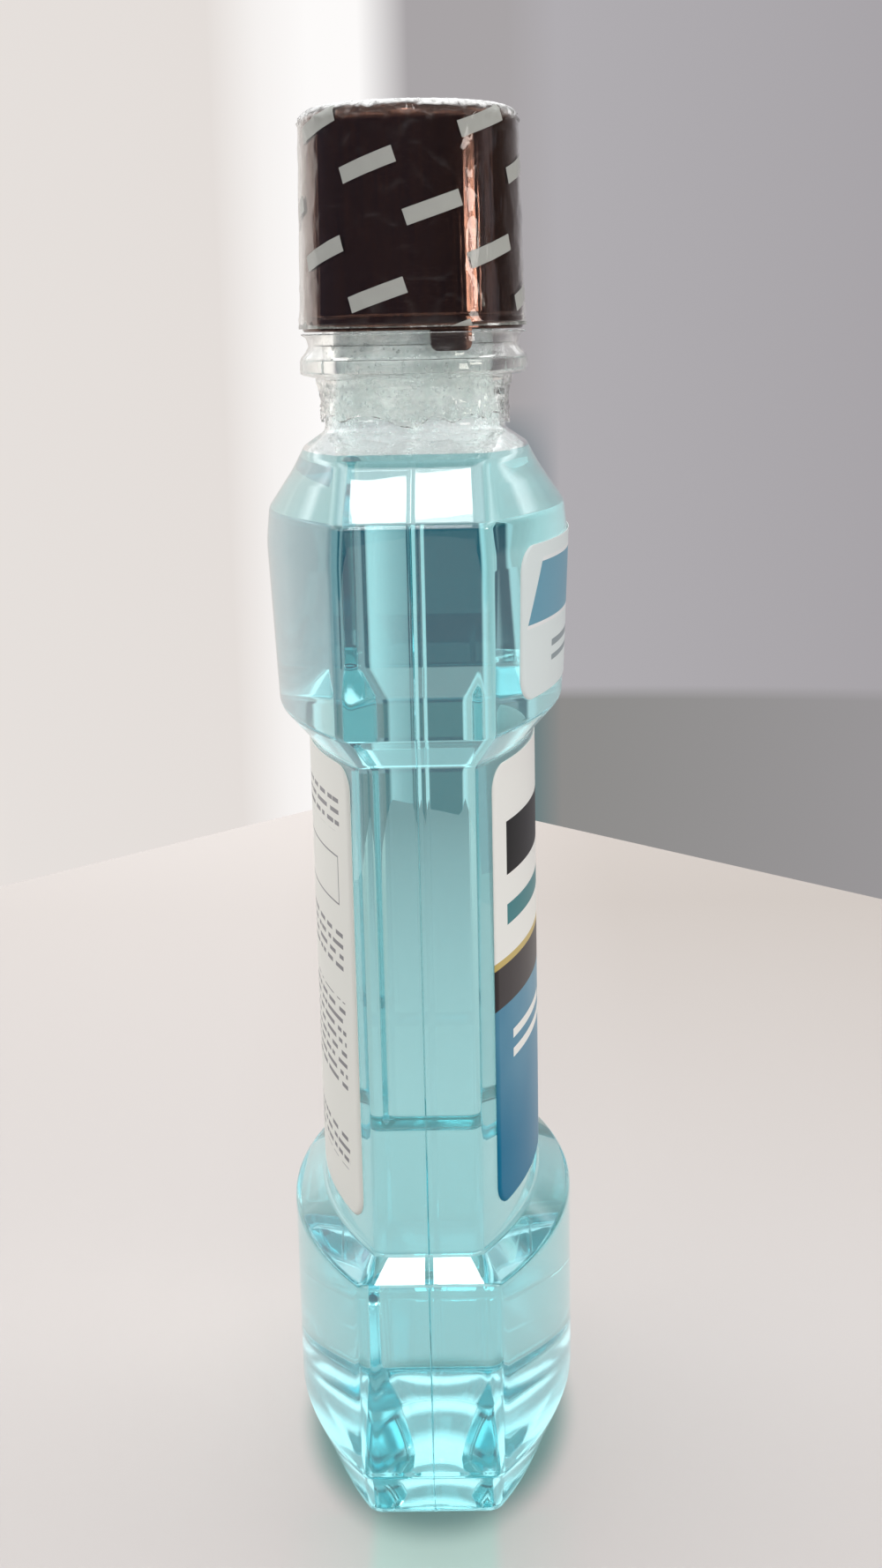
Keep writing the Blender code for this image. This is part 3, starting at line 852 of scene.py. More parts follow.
@dataclass(frozen=True)
class Slice:
    """A level slice of the body: flat at both ends of X, bowed out across Y, with four rounded corners.

    The mould seam stands up in the middle of each flat end.
    """

    z: float
    width: float
    thickness: float
    flat: float
    corner: float = 2.8 * MM
    seam_height: float = 0.13 * MM
    seam_reach: float = 0.3 * MM

    @property
    def face_radius(self) -> float:
        """Radius of the front and back arcs, from their chord and rise.

        Returns:
            The radius.
        """
        half = self.width / 2
        rise = (self.thickness - self.flat) / 2
        return (half * half + rise * rise) / (2 * rise)

    def inset(self, depth: float) -> Slice:
        """The slice with every side moved inward.

        Args:
            depth: How far each side moves.

        Returns:
            The smaller slice.
        """
        radius = self.face_radius
        half = self.width / 2 - depth
        middle = self.thickness / 2 - radius
        flat = 2 * (middle + math.sqrt((radius - depth) ** 2 - half * half))
        return replace(self, width=2 * half, thickness=self.thickness - 2 * depth, flat=flat)

    def face_y(self, x: float) -> float:
        """Y of the +Y face at X."""
        radius = self.face_radius
        return self.thickness / 2 - radius + math.sqrt(radius * radius - x * x)

    def ring(self) -> np.ndarray:
        """The closed outline, anticlockwise from above.

        Returns:
            Its points, all at the slice's height.
        """
        radius = self.face_radius
        middle = self.thickness / 2 - radius
        corner_x = self.width / 2 - self.corner
        corner_y = middle + math.sqrt((radius - self.corner) ** 2 - corner_x * corner_x)
        turn = math.atan2(corner_y - middle, corner_x)
        half = self.width / 2
        beside_seam, before_corner = 2.5 * self.seam_reach, corner_y - 0.5 * MM
        points = [(half + self.seam_height, 0.0), (half, self.seam_reach), (half, beside_seam)]
        points += [(half, beside_seam + (before_corner - beside_seam) * i / 4) for i in range(1, 5)]
        for i in range(Mesh.CORNER):
            angle = turn * i / Mesh.CORNER
            x, y = self.corner * math.cos(angle), self.corner * math.sin(angle)
            points.append((corner_x + x, corner_y + y))
        for i in range(Mesh.FACE + 1):
            angle = turn + (math.pi / 2 - turn) * (i / Mesh.FACE) ** Mesh.CROWDING
            points.append((radius * math.cos(angle), middle + radius * math.sin(angle)))
        return Mesh.whole(points, self.z)


class Mesh:
    """Builds surfaces from stacks of rings with equal numbers of points.

    A quarter of a ring has the points of a narrow side, then CORNER and FACE points for a corner and half a
    face, closer together near the corner. SIDE and CORNER_SPAN are where they lie on a round ring, as shares
    of the quarter turn. A rounding has ROUNDING faces and takes up to the share LONGEST of a wall, and a ring
    keeps the wall straight beyond it, at the share GUARD of its size.
    """

    CORNER = 6
    FACE = 20
    CROWDING = 1.2
    SIDE = (0.0, 0.02, 0.05, 0.16, 0.27, 0.38, 0.47)
    CORNER_SPAN = (0.5, 0.64)
    ROUNDING = 5
    LONGEST = 0.44
    GUARD = 0.12

    @staticmethod
    def whole(quarter: list[Span], z: float) -> np.ndarray:
        """Mirrors a quarter of an outline.

        Args:
            quarter: Its points from the +X axis to the +Y axis.
            z: The height of the ring.

        Returns:
            The whole ring.
        """
        half = quarter + [(-x, y) for x, y in reversed(quarter[:-1])]
        full = half + [(x, -y) for x, y in reversed(half[1:-1])]
        return np.array([(x, y, z) for x, y in full])

    @classmethod
    def circle(cls, radius: float, z: float) -> np.ndarray:
        """A round ring whose points meet those of a Slice.

        Args:
            radius: Its radius.
            z: Its height.

        Returns:
            The ring.
        """
        start, end = cls.CORNER_SPAN
        shares = [*cls.SIDE, *(start + (end - start) * i / cls.CORNER for i in range(cls.CORNER))]
        shares += [end + (1 - end) * (i / cls.FACE) ** cls.CROWDING for i in range(cls.FACE + 1)]
        angles = [share * math.pi / 2 for share in shares]
        return cls.whole([(radius * math.cos(a), radius * math.sin(a)) for a in angles], z)

    @staticmethod
    def shrunk(ring: np.ndarray, share: float, lift: float = 0.0) -> np.ndarray:
        """A ring drawn in towards the Z axis to a share of its size, and lifted."""
        return ring * (share, share, 1.0) + (0.0, 0.0, lift)

    @staticmethod
    def rounded(keys: list[tuple[np.ndarray, float]]) -> list[np.ndarray]:
        """Rounds the level edges of a stack of rings.

        Args:
            keys: Each ring with the rounding of its edge in metres, where 0 leaves it sharp.

        Returns:
            The finer stack, with a ring close to each side of a rounding to keep the long walls straight.
        """
        stack = [keys[0][0]]
        for (below, _), (ring, size), (above, _) in zip(keys, keys[1:], keys[2:]):
            if not size:
                stack.append(ring)
                continue
            before = min(size / np.linalg.norm(ring - below, axis=1).mean(), Mesh.LONGEST)
            after = min(size / np.linalg.norm(above - ring, axis=1).mean(), Mesh.LONGEST)
            start, end = ring + (below - ring) * before, ring + (above - ring) * after
            stack.append(start + (below - ring) * before * Mesh.GUARD)
            for i in range(Mesh.ROUNDING + 1):
                t = i / Mesh.ROUNDING
                stack.append(start * (1 - t) ** 2 + ring * 2 * t * (1 - t) + end * t * t)
            stack.append(end + (above - ring) * after * Mesh.GUARD)
        return stack + [keys[-1][0]]

    @staticmethod
    def outward(stack: np.ndarray) -> np.ndarray:
        """Unit normals of a stack of rings.

        Args:
            stack: The rings.

        Returns:
            A normal for each point, which points out of the solid that the rings go round.
        """
        along = np.roll(stack, -1, axis=1) - np.roll(stack, 1, axis=1)
        steps = stack[1:] - stack[:-1]
        steps /= np.maximum(np.linalg.norm(steps, axis=2, keepdims=True), 1e-12)
        up = np.zeros_like(stack)
        up[:-1] += steps
        up[1:] += steps
        normals = np.cross(along, up)
        return normals / np.maximum(np.linalg.norm(normals, axis=2, keepdims=True), 1e-12)

    @staticmethod
    def band(low: int, high: int, count: int) -> list[tuple[int, ...]]:
        """The faces between two rings of count points, whose first points have the numbers low and high."""
        return [(low + i, low + (i + 1) % count, high + (i + 1) % count, high + i) for i in range(count)]

    @staticmethod
    def piece(name: str, stack: list[np.ndarray], closed: bool = True) -> bpy.types.Object:
        """Makes an object from a stack of rings.

        Args:
            name: The object's name.
            stack: Rings of equal length, from the first end to the last.
            closed: Whether the first and last ring are filled.

        Returns:
            The object, linked to the scene and shaded smooth.
        """
        count = len(stack[0])
        last = (len(stack) - 1) * count
        faces = []
        for low in range(0, last, count):
            faces += Mesh.band(low, low + count, count)
        if closed:
            faces += [tuple(reversed(range(count))), tuple(range(last, last + count))]
        return Mesh.solid(name, np.concatenate(stack), faces)

    @staticmethod
    def tube(name: str, stack: list[np.ndarray]) -> bpy.types.Object:
        """Makes a closed tube.

        Args:
            name: The object's name.
            stack: Rings of equal length that go up its outside and down its inside.

        Returns:
            The object.
        """
        count = len(stack[0])
        faces = []
        for k in range(len(stack)):
            faces += Mesh.band(k * count, (k + 1) % len(stack) * count, count)
        return Mesh.solid(name, np.concatenate(stack), faces)

    @staticmethod
    def solid(name: str, points: np.ndarray | list[Point], faces: list[tuple[int, ...]]) -> bpy.types.Object:
        """Makes a smooth-shaded object.

        Args:
            name: The object's name.
            points: Its points.
            faces: The numbers of each face's points.

        Returns:
            The object, linked to the scene.
        """
        mesh = bpy.data.meshes.new(name)
        mesh.from_pydata([tuple(map(float, p)) for p in points], [], faces)
        mesh.validate()
        mesh.shade_smooth()
        obj = bpy.data.objects.new(name, mesh)
        bpy.context.scene.collection.objects.link(obj)
        return obj

    @staticmethod
    def balls(name: str, places: list[Ball]) -> bpy.types.Object:
        """Makes one object of many small balls.

        Args:
            name: The object's name.
            places: Each ball's X, Y, Z and radius.

        Returns:
            The object.
        """
        work = bmesh.new()
        bmesh.ops.create_icosphere(work, subdivisions=2, radius=1.0)
        work.verts.index_update()
        unit = np.array([vert.co[:] for vert in work.verts])
        corners = np.array([[vert.index for vert in face.verts] for face in work.faces])
        work.free()
        spots = np.array(places)
        points = (unit[None] * spots[:, None, 3:] + spots[:, None, :3]).reshape(-1, 3)
        faces = (corners[None] + np.arange(len(spots))[:, None, None] * len(unit)).reshape(-1, 3)
        return Mesh.solid(name, points, faces.tolist())


@dataclass(frozen=True)
class ThreadForm:
    """The thread that neck and cap share: a ridge that winds up a round wall and thins out at both ends."""

    lead: float = 6.0 * MM
    turns: float = 1.25
    depth: float = 1.3 * MM
    root_width: float = 2.2 * MM
    crest_width: float = 1.2 * MM
    sunk: float = 0.3 * MM
    taper: float = 0.06
    tip: float = 0.15
    steps_a_turn: int = 96
    sharp: float = math.radians(35)

    def ridge(self, name: str, root: float, outward: float, start: float, turn: float) -> bpy.types.Object:
        """Winds the ridge.

        Args:
            name: The object's name.
            root: Radius of the wall that it stands on.
            outward: 1 on a neck, -1 inside a cap.
            start: Height of the ridge's middle where it starts.
            turn: Angle where it starts.

        Returns:
            The ridge.
        """
        steps = round(self.steps_a_turn * self.turns)
        stack = []
        for i in range(steps + 1):
            share = min(i, steps - i) / (steps * self.taper)
            size = min(1.0, self.tip + (1 - self.tip) * share)
            angle = turn + math.tau * self.turns * i / steps
            z = start + self.lead * self.turns * i / steps
            foot, crest = root - outward * self.sunk, root + outward * self.depth * size
            half, top = self.root_width / 2 * size, self.crest_width / 2 * size
            shape = [(foot, -half), (crest, -top), (crest, top), (foot, half)]
            stack.append(np.array([(r * math.cos(angle), r * math.sin(angle), z + h) for r, h in shape]))
        if outward > 0:
            stack = [ring[::-1] for ring in stack]
        obj = Mesh.piece(name, stack)
        obj.data.set_sharp_from_angle(angle=self.sharp)
        return obj


def let_light_through(*pieces: bpy.types.Object) -> None:
    """Keeps clear pieces from shading what lies in and behind them."""
    for piece in pieces:
        piece.visible_shadow = False


def dress(obj: bpy.types.Object, finish: bpy.types.Material, body: Body, slot: Slot, *nodes: str) -> None:
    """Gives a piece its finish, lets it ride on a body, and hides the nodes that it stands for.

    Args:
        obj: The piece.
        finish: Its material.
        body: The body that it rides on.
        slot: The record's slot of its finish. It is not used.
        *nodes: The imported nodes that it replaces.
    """
    obj.data.materials.clear()
    obj.data.materials.append(finish)
    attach(obj, body.value)
    if nodes:
        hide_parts(*nodes)


@dataclass
class Bottle:
    """The blown bottle with its neck finish, and the mould seam down both narrow sides."""

    foot: Slice = Slice(0.0, 72.0 * MM, 40.0 * MM, 21.5 * MM)
    base: Slice = Slice(12.0 * MM, 86.8 * MM, 50.6 * MM, 22.5 * MM)
    base_top_z: float = 47.0 * MM
    waist: Slice = Slice(51.2 * MM, 79.2 * MM, 38.9 * MM, 16.9 * MM)
    waist_top_z: float = 133.4 * MM
    head: Slice = Slice(139.0 * MM, 86.5 * MM, 48.8 * MM, 23.2 * MM)
    head_top: Slice = Slice(165.9 * MM, 86.5 * MM, 51.1 * MM, 23.2 * MM)
    crown_z: float = 171.4 * MM
    crown_inset: float = 0.6 * MM
    shoulder_rows: tuple[tuple[float, float, float, float], ...] = (
        (0.5, 0.305, 0.43, 1.5 * MM),
        (0.7, 0.427, 0.563, 0.9 * MM),
        (0.8, 0.618, 0.63, 1.0 * MM),
    )
    shoulder_flat: float = 0.97
    neck_z: float = 183.6 * MM
    neck_radius: float = 15.2 * MM
    neck_fillet: float = 1.2 * MM
    bore: float = 13.4 * MM
    bead_z: float = 193.0 * MM
    bead_height: float = 2.2 * MM
    bead_radius: float = 18.8 * MM
    lock_z: float = 197.4 * MM
    lock_height: float = 2.0 * MM
    lock_radius: float = 16.8 * MM
    rim_z: float = 216.0 * MM
    foot_ring: float = 4.0 * MM
    hollow_depth: float = 3.5 * MM
    hollow_rows: tuple[float, ...] = (0.04, 0.16, 0.28, 0.40, 0.52, 0.64, 0.75, 0.84, 0.91, 0.96)
    hollow_edge: float = 1.0 * MM
    soft_edge: float = 1.5 * MM
    crisp_edge: float = 0.7 * MM
    wall: float = 0.7 * MM
    thick_from: float = 184 * MM
    thick_over: float = 9 * MM
    thread_z: float = 202.6 * MM
    sharp: float = math.radians(42)

    @property
    def crown(self) -> Slice:
        """The head's upper edge."""
        drawn_in = self.head_top.inset(self.crown_inset)
        return replace(drawn_in, z=self.crown_z, width=self.head_top.width)

    @property
    def waist_top(self) -> Slice:
        """The waist's upper edge."""
        return replace(self.waist, z=self.waist_top_z)

    def hollow(self) -> list[np.ndarray]:
        """The oval dome under the foot, which gets the foot's own outline towards its edge.

        Returns:
            The rings from its middle outwards. The last one is the inner edge of the foot ring.
        """
        rim = self.foot.inset(self.foot_ring)
        edge = rim.ring()
        angles = np.arctan2(edge[:, 1] / rim.thickness, edge[:, 0] / rim.width)
        oval = np.stack([np.cos(angles) * rim.width, np.sin(angles) * rim.thickness, 0 * angles], axis=1) / 2
        rings = []
        for share in self.hollow_rows:
            blend = share**3
            outline = edge * blend + oval * (1 - blend)
            height = self.hollow_depth * math.cos(math.pi / 2 * share) ** 0.8
            rings.append(Mesh.shrunk(outline, share, height))
        return [*rings, edge]

    def shoulder(self) -> list[tuple[np.ndarray, float]]:
        """The slices that lead from the head's upper edge to the round neck.

        Each row gives its share of the rise, of the way in along X and along Y, and its rounding.

        Returns:
            Each ring with the rounding of its edge.
        """
        crown = self.crown
        rows = []
        for rise, along_x, along_y, rounding in self.shoulder_rows:
            half_width = crown.width / 2 + (self.neck_radius - crown.width / 2) * along_x
            half_thickness = crown.thickness / 2 + (self.neck_radius - crown.thickness / 2) * along_y
            z = self.crown_z + (self.neck_z - self.crown_z) * rise
            flat = self.head_top.flat * self.shoulder_flat
            rows.append((Slice(z, 2 * half_width, 2 * half_thickness, flat).ring(), rounding))
        return rows

    def body_stack(self) -> np.ndarray:
        """The outside from the middle of the foot's hollow up to the bead.

        Returns:
            Its rings, with the level edges rounded.
        """
        *dome, edge_of_hollow = self.hollow()
        keys = [
            *((ring, 0.0) for ring in dome),
            (edge_of_hollow, self.hollow_edge),
            (self.foot.ring(), self.soft_edge),
            (self.base.ring(), self.crisp_edge),
            (replace(self.base, z=self.base_top_z).ring(), self.crisp_edge),
            (self.waist.ring(), self.crisp_edge),
            (self.waist_top.ring(), self.crisp_edge),
            (self.head.ring(), self.crisp_edge),
            (self.head_top.ring(), self.soft_edge),
            (self.crown.ring(), self.crisp_edge),
            *self.shoulder(),
            (Mesh.circle(self.neck_radius, self.neck_z), self.neck_fillet),
            (Mesh.circle(self.neck_radius, self.bead_z - 0.6 * MM), 0.0),
        ]
        return np.array(Mesh.rounded(keys))

    def inside(self, stack: np.ndarray, wet: float = 0.0) -> np.ndarray:
        """The inner side of the wall, which is thicker at the neck.

        Args:
            stack: The outside's rings.
            wet: How far the surface is moved back into the wall.

        Returns:
            The moved rings.
        """
        return stack - Mesh.outward(stack) * (self.wall_at(stack[:, :, 2:]) - wet)

    def wall_at(self, z: float | np.ndarray) -> float | np.ndarray:
        """The wall's thickness at height z, for a number or an array."""
        share = np.clip((z - self.thick_from) / self.thick_over, 0.0, 1.0)
        return self.wall + (self.neck_radius - self.bore - self.wall) * share

    def finish_rings(self) -> list[np.ndarray]:
        """The bead, the lock ring, the neck's top and its bore.

        Returns:
            Their rings, from under the bead up to the rim and down the bore.
        """
        neck, bead, lock = self.neck_radius, self.bead_radius, self.lock_radius
        soft, bevel, lip = 0.4 * MM, 0.1 * MM, 0.15 * MM
        bead_top = self.bead_z + self.bead_height
        lock_top = self.lock_z + self.lock_height
        profile = [
            (neck + bevel, self.bead_z - 0.3 * MM),
            (neck + soft, self.bead_z),
            (bead - soft, self.bead_z),
            (bead - bevel, self.bead_z + bevel),
            (bead, self.bead_z + soft),
            (bead, bead_top - soft),
            (bead - bevel, bead_top - bevel),
            (bead - soft, bead_top),
            (neck + soft, bead_top),
            (neck + bevel, bead_top + 0.3 * MM),
            (neck, bead_top + soft),
            (neck, self.lock_z),
            (lock - lip, self.lock_z),
            (lock, self.lock_z + lip),
            (lock, lock_top - lip),
            (lock - lip, lock_top),
            (neck, lock_top),
            (neck, self.rim_z - soft),
            (neck - bevel, self.rim_z - bevel),
            (neck - soft, self.rim_z),
            (self.bore + soft, self.rim_z),
            (self.bore + bevel, self.rim_z - bevel),
            (self.bore, self.rim_z - soft),
            (self.bore, self.bead_z + 2.0 * MM),
        ]
        return [Mesh.circle(radius, z) for radius, z in profile]

    def build(self, finish: bpy.types.Material) -> list[bpy.types.Object]:
        """Makes the shell and its thread.

        Args:
            finish: The bottle's material.

        Returns:
            Both pieces.
        """
        outside = self.body_stack()
        shell = Mesh.piece("bottle_shell", [*outside, *self.finish_rings(), *self.inside(outside)[::-1]])
        shell.data.set_sharp_from_angle(angle=self.sharp)
        dress(shell, finish, Body.BOTTLE, Slot.PET, "bottle")
        thread = ThreadForm().ridge("neck_thread", self.neck_radius, 1.0, self.thread_z, 0.0)
        dress(thread, finish, Body.BOTTLE, Slot.PET)
        let_light_through(shell, thread)
        return [shell, thread]


@dataclass
class Contents:
    """The mouthwash, and the froth, bubbles and mist above it.

    dip and froth_top_rows give shares of a ring's size with a lift in millimetres. A bubble's or droplet's
    radius is the first number of its span, and up to the second more.
    """

    bottle: Bottle
    level: float = 180.4 * MM
    wet: float = 0.08 * MM
    below_surface: float = 0.4 * MM
    dip: tuple[Span, ...] = ((0.985, -0.35), (0.96, -0.5), (0.9, -0.55), (0.6, -0.55), (0.2, -0.55))
    froth_top: float = 185.6 * MM
    froth_top_rows: tuple[Span, ...] = ((0.93, -0.5), (0.8, -1.4), (0.6, -2.2), (0.35, -2.6), (0.1, -2.8))
    froth_share: float = 0.985
    froth_gap: float = 0.05 * MM
    froth_lump: float = 1.5 * MM
    froth_swell: Span = (0.9 * MM, 0.4 * MM)
    froth_seeds: Span = (5.0, 9.0)
    mist_top: float = 201.0 * MM
    mist_gaps: Span = (0.04 * MM, 0.12 * MM)
    bubbles: int = 700
    bubble_size: Span = (0.22 * MM, 0.6 * MM)
    bubble_gap: float = 0.1 * MM
    droplets: int = 700
    droplet_size: Span = (0.15 * MM, 0.35 * MM)
    droplet_reach: float = 12 * MM
    seed: int = 7

    def surface_ring(self, stack: np.ndarray) -> np.ndarray:
        """The outline of a wall at the liquid's level.

        Args:
            stack: The wall's rings.

        Returns:
            The ring where they cross the level.
        """
        ring = stack[0].copy()
        for low, high in zip(stack, stack[1:]):
            span = high[:, 2] - low[:, 2]
            crossing = (low[:, 2] <= self.level) & (high[:, 2] > self.level)
            share = np.where(crossing, (self.level - low[:, 2]) / np.where(crossing, span, 1.0), 0.0)
            at = low + (high - low) * share[:, None]
            ring[crossing] = at[crossing]
        return ring

    def wall_at(self, z: float) -> np.ndarray:
        """The outline of the inner wall at height z."""
        return replace(self, level=z).surface_ring(self.bottle.inside(self.bottle.body_stack()))

    def build(
        self,
        water: bpy.types.Material,
        foam: bpy.types.Material,
        film: bpy.types.Material,
        veil: bpy.types.Material,
    ) -> list[bpy.types.Object]:
        """Makes the liquid, the froth on it, the bubbles and the mist above them.

        Args:
            water: The liquid's material.
            foam: The froth's material.
            film: The bubbles' material.
            veil: The mist's material.

        Returns:
            The pieces.
        """
        pieces = [self.liquid(water), self.froth(foam), self.bubble_walls(film), self.mist(veil)]
        let_light_through(*pieces)
        return pieces

    def liquid(self, water: bpy.types.Material) -> bpy.types.Object:
        """Makes the liquid, which wets the wall and dips a little towards its middle.

        Args:
            water: The liquid's material.

        Returns:
            The piece.
        """
        wetted = self.bottle.inside(self.bottle.body_stack(), self.wet)
        surface = self.surface_ring(wetted)
        stack = [ring for ring in wetted if ring[:, 2].max() < self.level - self.below_surface]
        stack += [surface, *(Mesh.shrunk(surface, share, lift * MM) for share, lift in self.dip)]
        obj = Mesh.piece("mouthwash_liquid", stack)
        obj.data.set_sharp_from_angle(angle=self.bottle.sharp)
        dress(obj, water, Body.BOTTLE, Slot.LIQUID, "mouthwash")
        return obj

    def mist(self, veil: bpy.types.Material) -> bpy.types.Object:
        """Makes the veil of droplets on the inside of the neck.

        Args:
            veil: The mist's material.

        Returns:
            The piece.
        """
        heights = [self.froth_top + (self.mist_top - self.froth_top) * i / 12 for i in range(13)]
        walls = [(self.bottle.neck_radius - self.bottle.wall_at(z), z) for z in heights]
        outer, inner = ([Mesh.circle(radius - gap, z) for radius, z in walls] for gap in self.mist_gaps)
        obj = Mesh.tube("neck_mist", outer + inner[::-1])
        dress(obj, veil, Body.BOTTLE, Slot.LIQUID)
        return obj

    def roughen(self, ring: np.ndarray, swell: float, seed: float) -> None:
        """Lifts the points of a ring unevenly, by up to swell."""
        for i, (x, y, _) in enumerate(ring / self.froth_lump):
            ring[i][2] += swell * noise.noise(Vector((x, y, seed)))

    def froth(self, foam: bpy.types.Material) -> bpy.types.Object:
        """Makes the froth: it fills the shoulder's cone and climbs the wall unevenly.

        Args:
            foam: The froth's material.

        Returns:
            The piece.
        """
        low, high = self.level + self.froth_gap, self.froth_top
        floor = self.wall_at(low)
        edge_swell, middle_swell = self.froth_swell
        edge_seed, middle_seed = self.froth_seeds
        stack = [Mesh.shrunk(floor, share, lift * MM) for share, lift in reversed(self.dip)]
        stack += [Mesh.shrunk(self.wall_at(low + (high - low) * i / 7), self.froth_share) for i in range(8)]
        top = stack[-1]
        self.roughen(top, edge_swell, edge_seed)
        for share, lift in self.froth_top_rows:
            row = Mesh.shrunk(top, share, lift * MM)
            self.roughen(row, middle_swell, middle_seed)
            stack.append(row)
        obj = Mesh.piece("froth", stack)
        dress(obj, foam, Body.BOTTLE, Slot.LIQUID)
        return obj

    def bubble_walls(self, film: bpy.types.Material) -> bpy.types.Object:
        """Scatters bubbles along the froth's edge, and droplets on the wall of the neck above it.

        Args:
            film: The bubbles' material.

        Returns:
            The bubbles as one piece.
        """
        chance = random.Random(self.seed)
        rise = self.froth_top - self.level
        edges = [self.wall_at(self.level + rise * i / 12) for i in range(13)]
        balls = []
        for _ in range(self.bubbles):
            edge = chance.choice(edges)
            x, y, z = edge[chance.randrange(len(edge))]
            size = self.bubble_size[0] + self.bubble_size[1] * chance.random() ** 2
            inward = 1 - (size + self.bubble_gap) / math.hypot(x, y)
            balls.append((x * inward, y * inward, z + chance.uniform(-0.3, 0.3) * MM, size))
        for _ in range(self.droplets):
            angle = chance.uniform(0, math.tau)
            size = self.droplet_size[0] + self.droplet_size[1] * chance.random() ** 2
            z = self.froth_top + self.droplet_reach * chance.random() ** 1.5
            reach = self.bottle.neck_radius - self.bottle.wall_at(z) - size * 0.5
            balls.append((reach * math.cos(angle), reach * math.sin(angle), z, size))
        obj = Mesh.balls("bubbles", balls)
        dress(obj, film, Body.BOTTLE, Slot.LIQUID)
        return obj


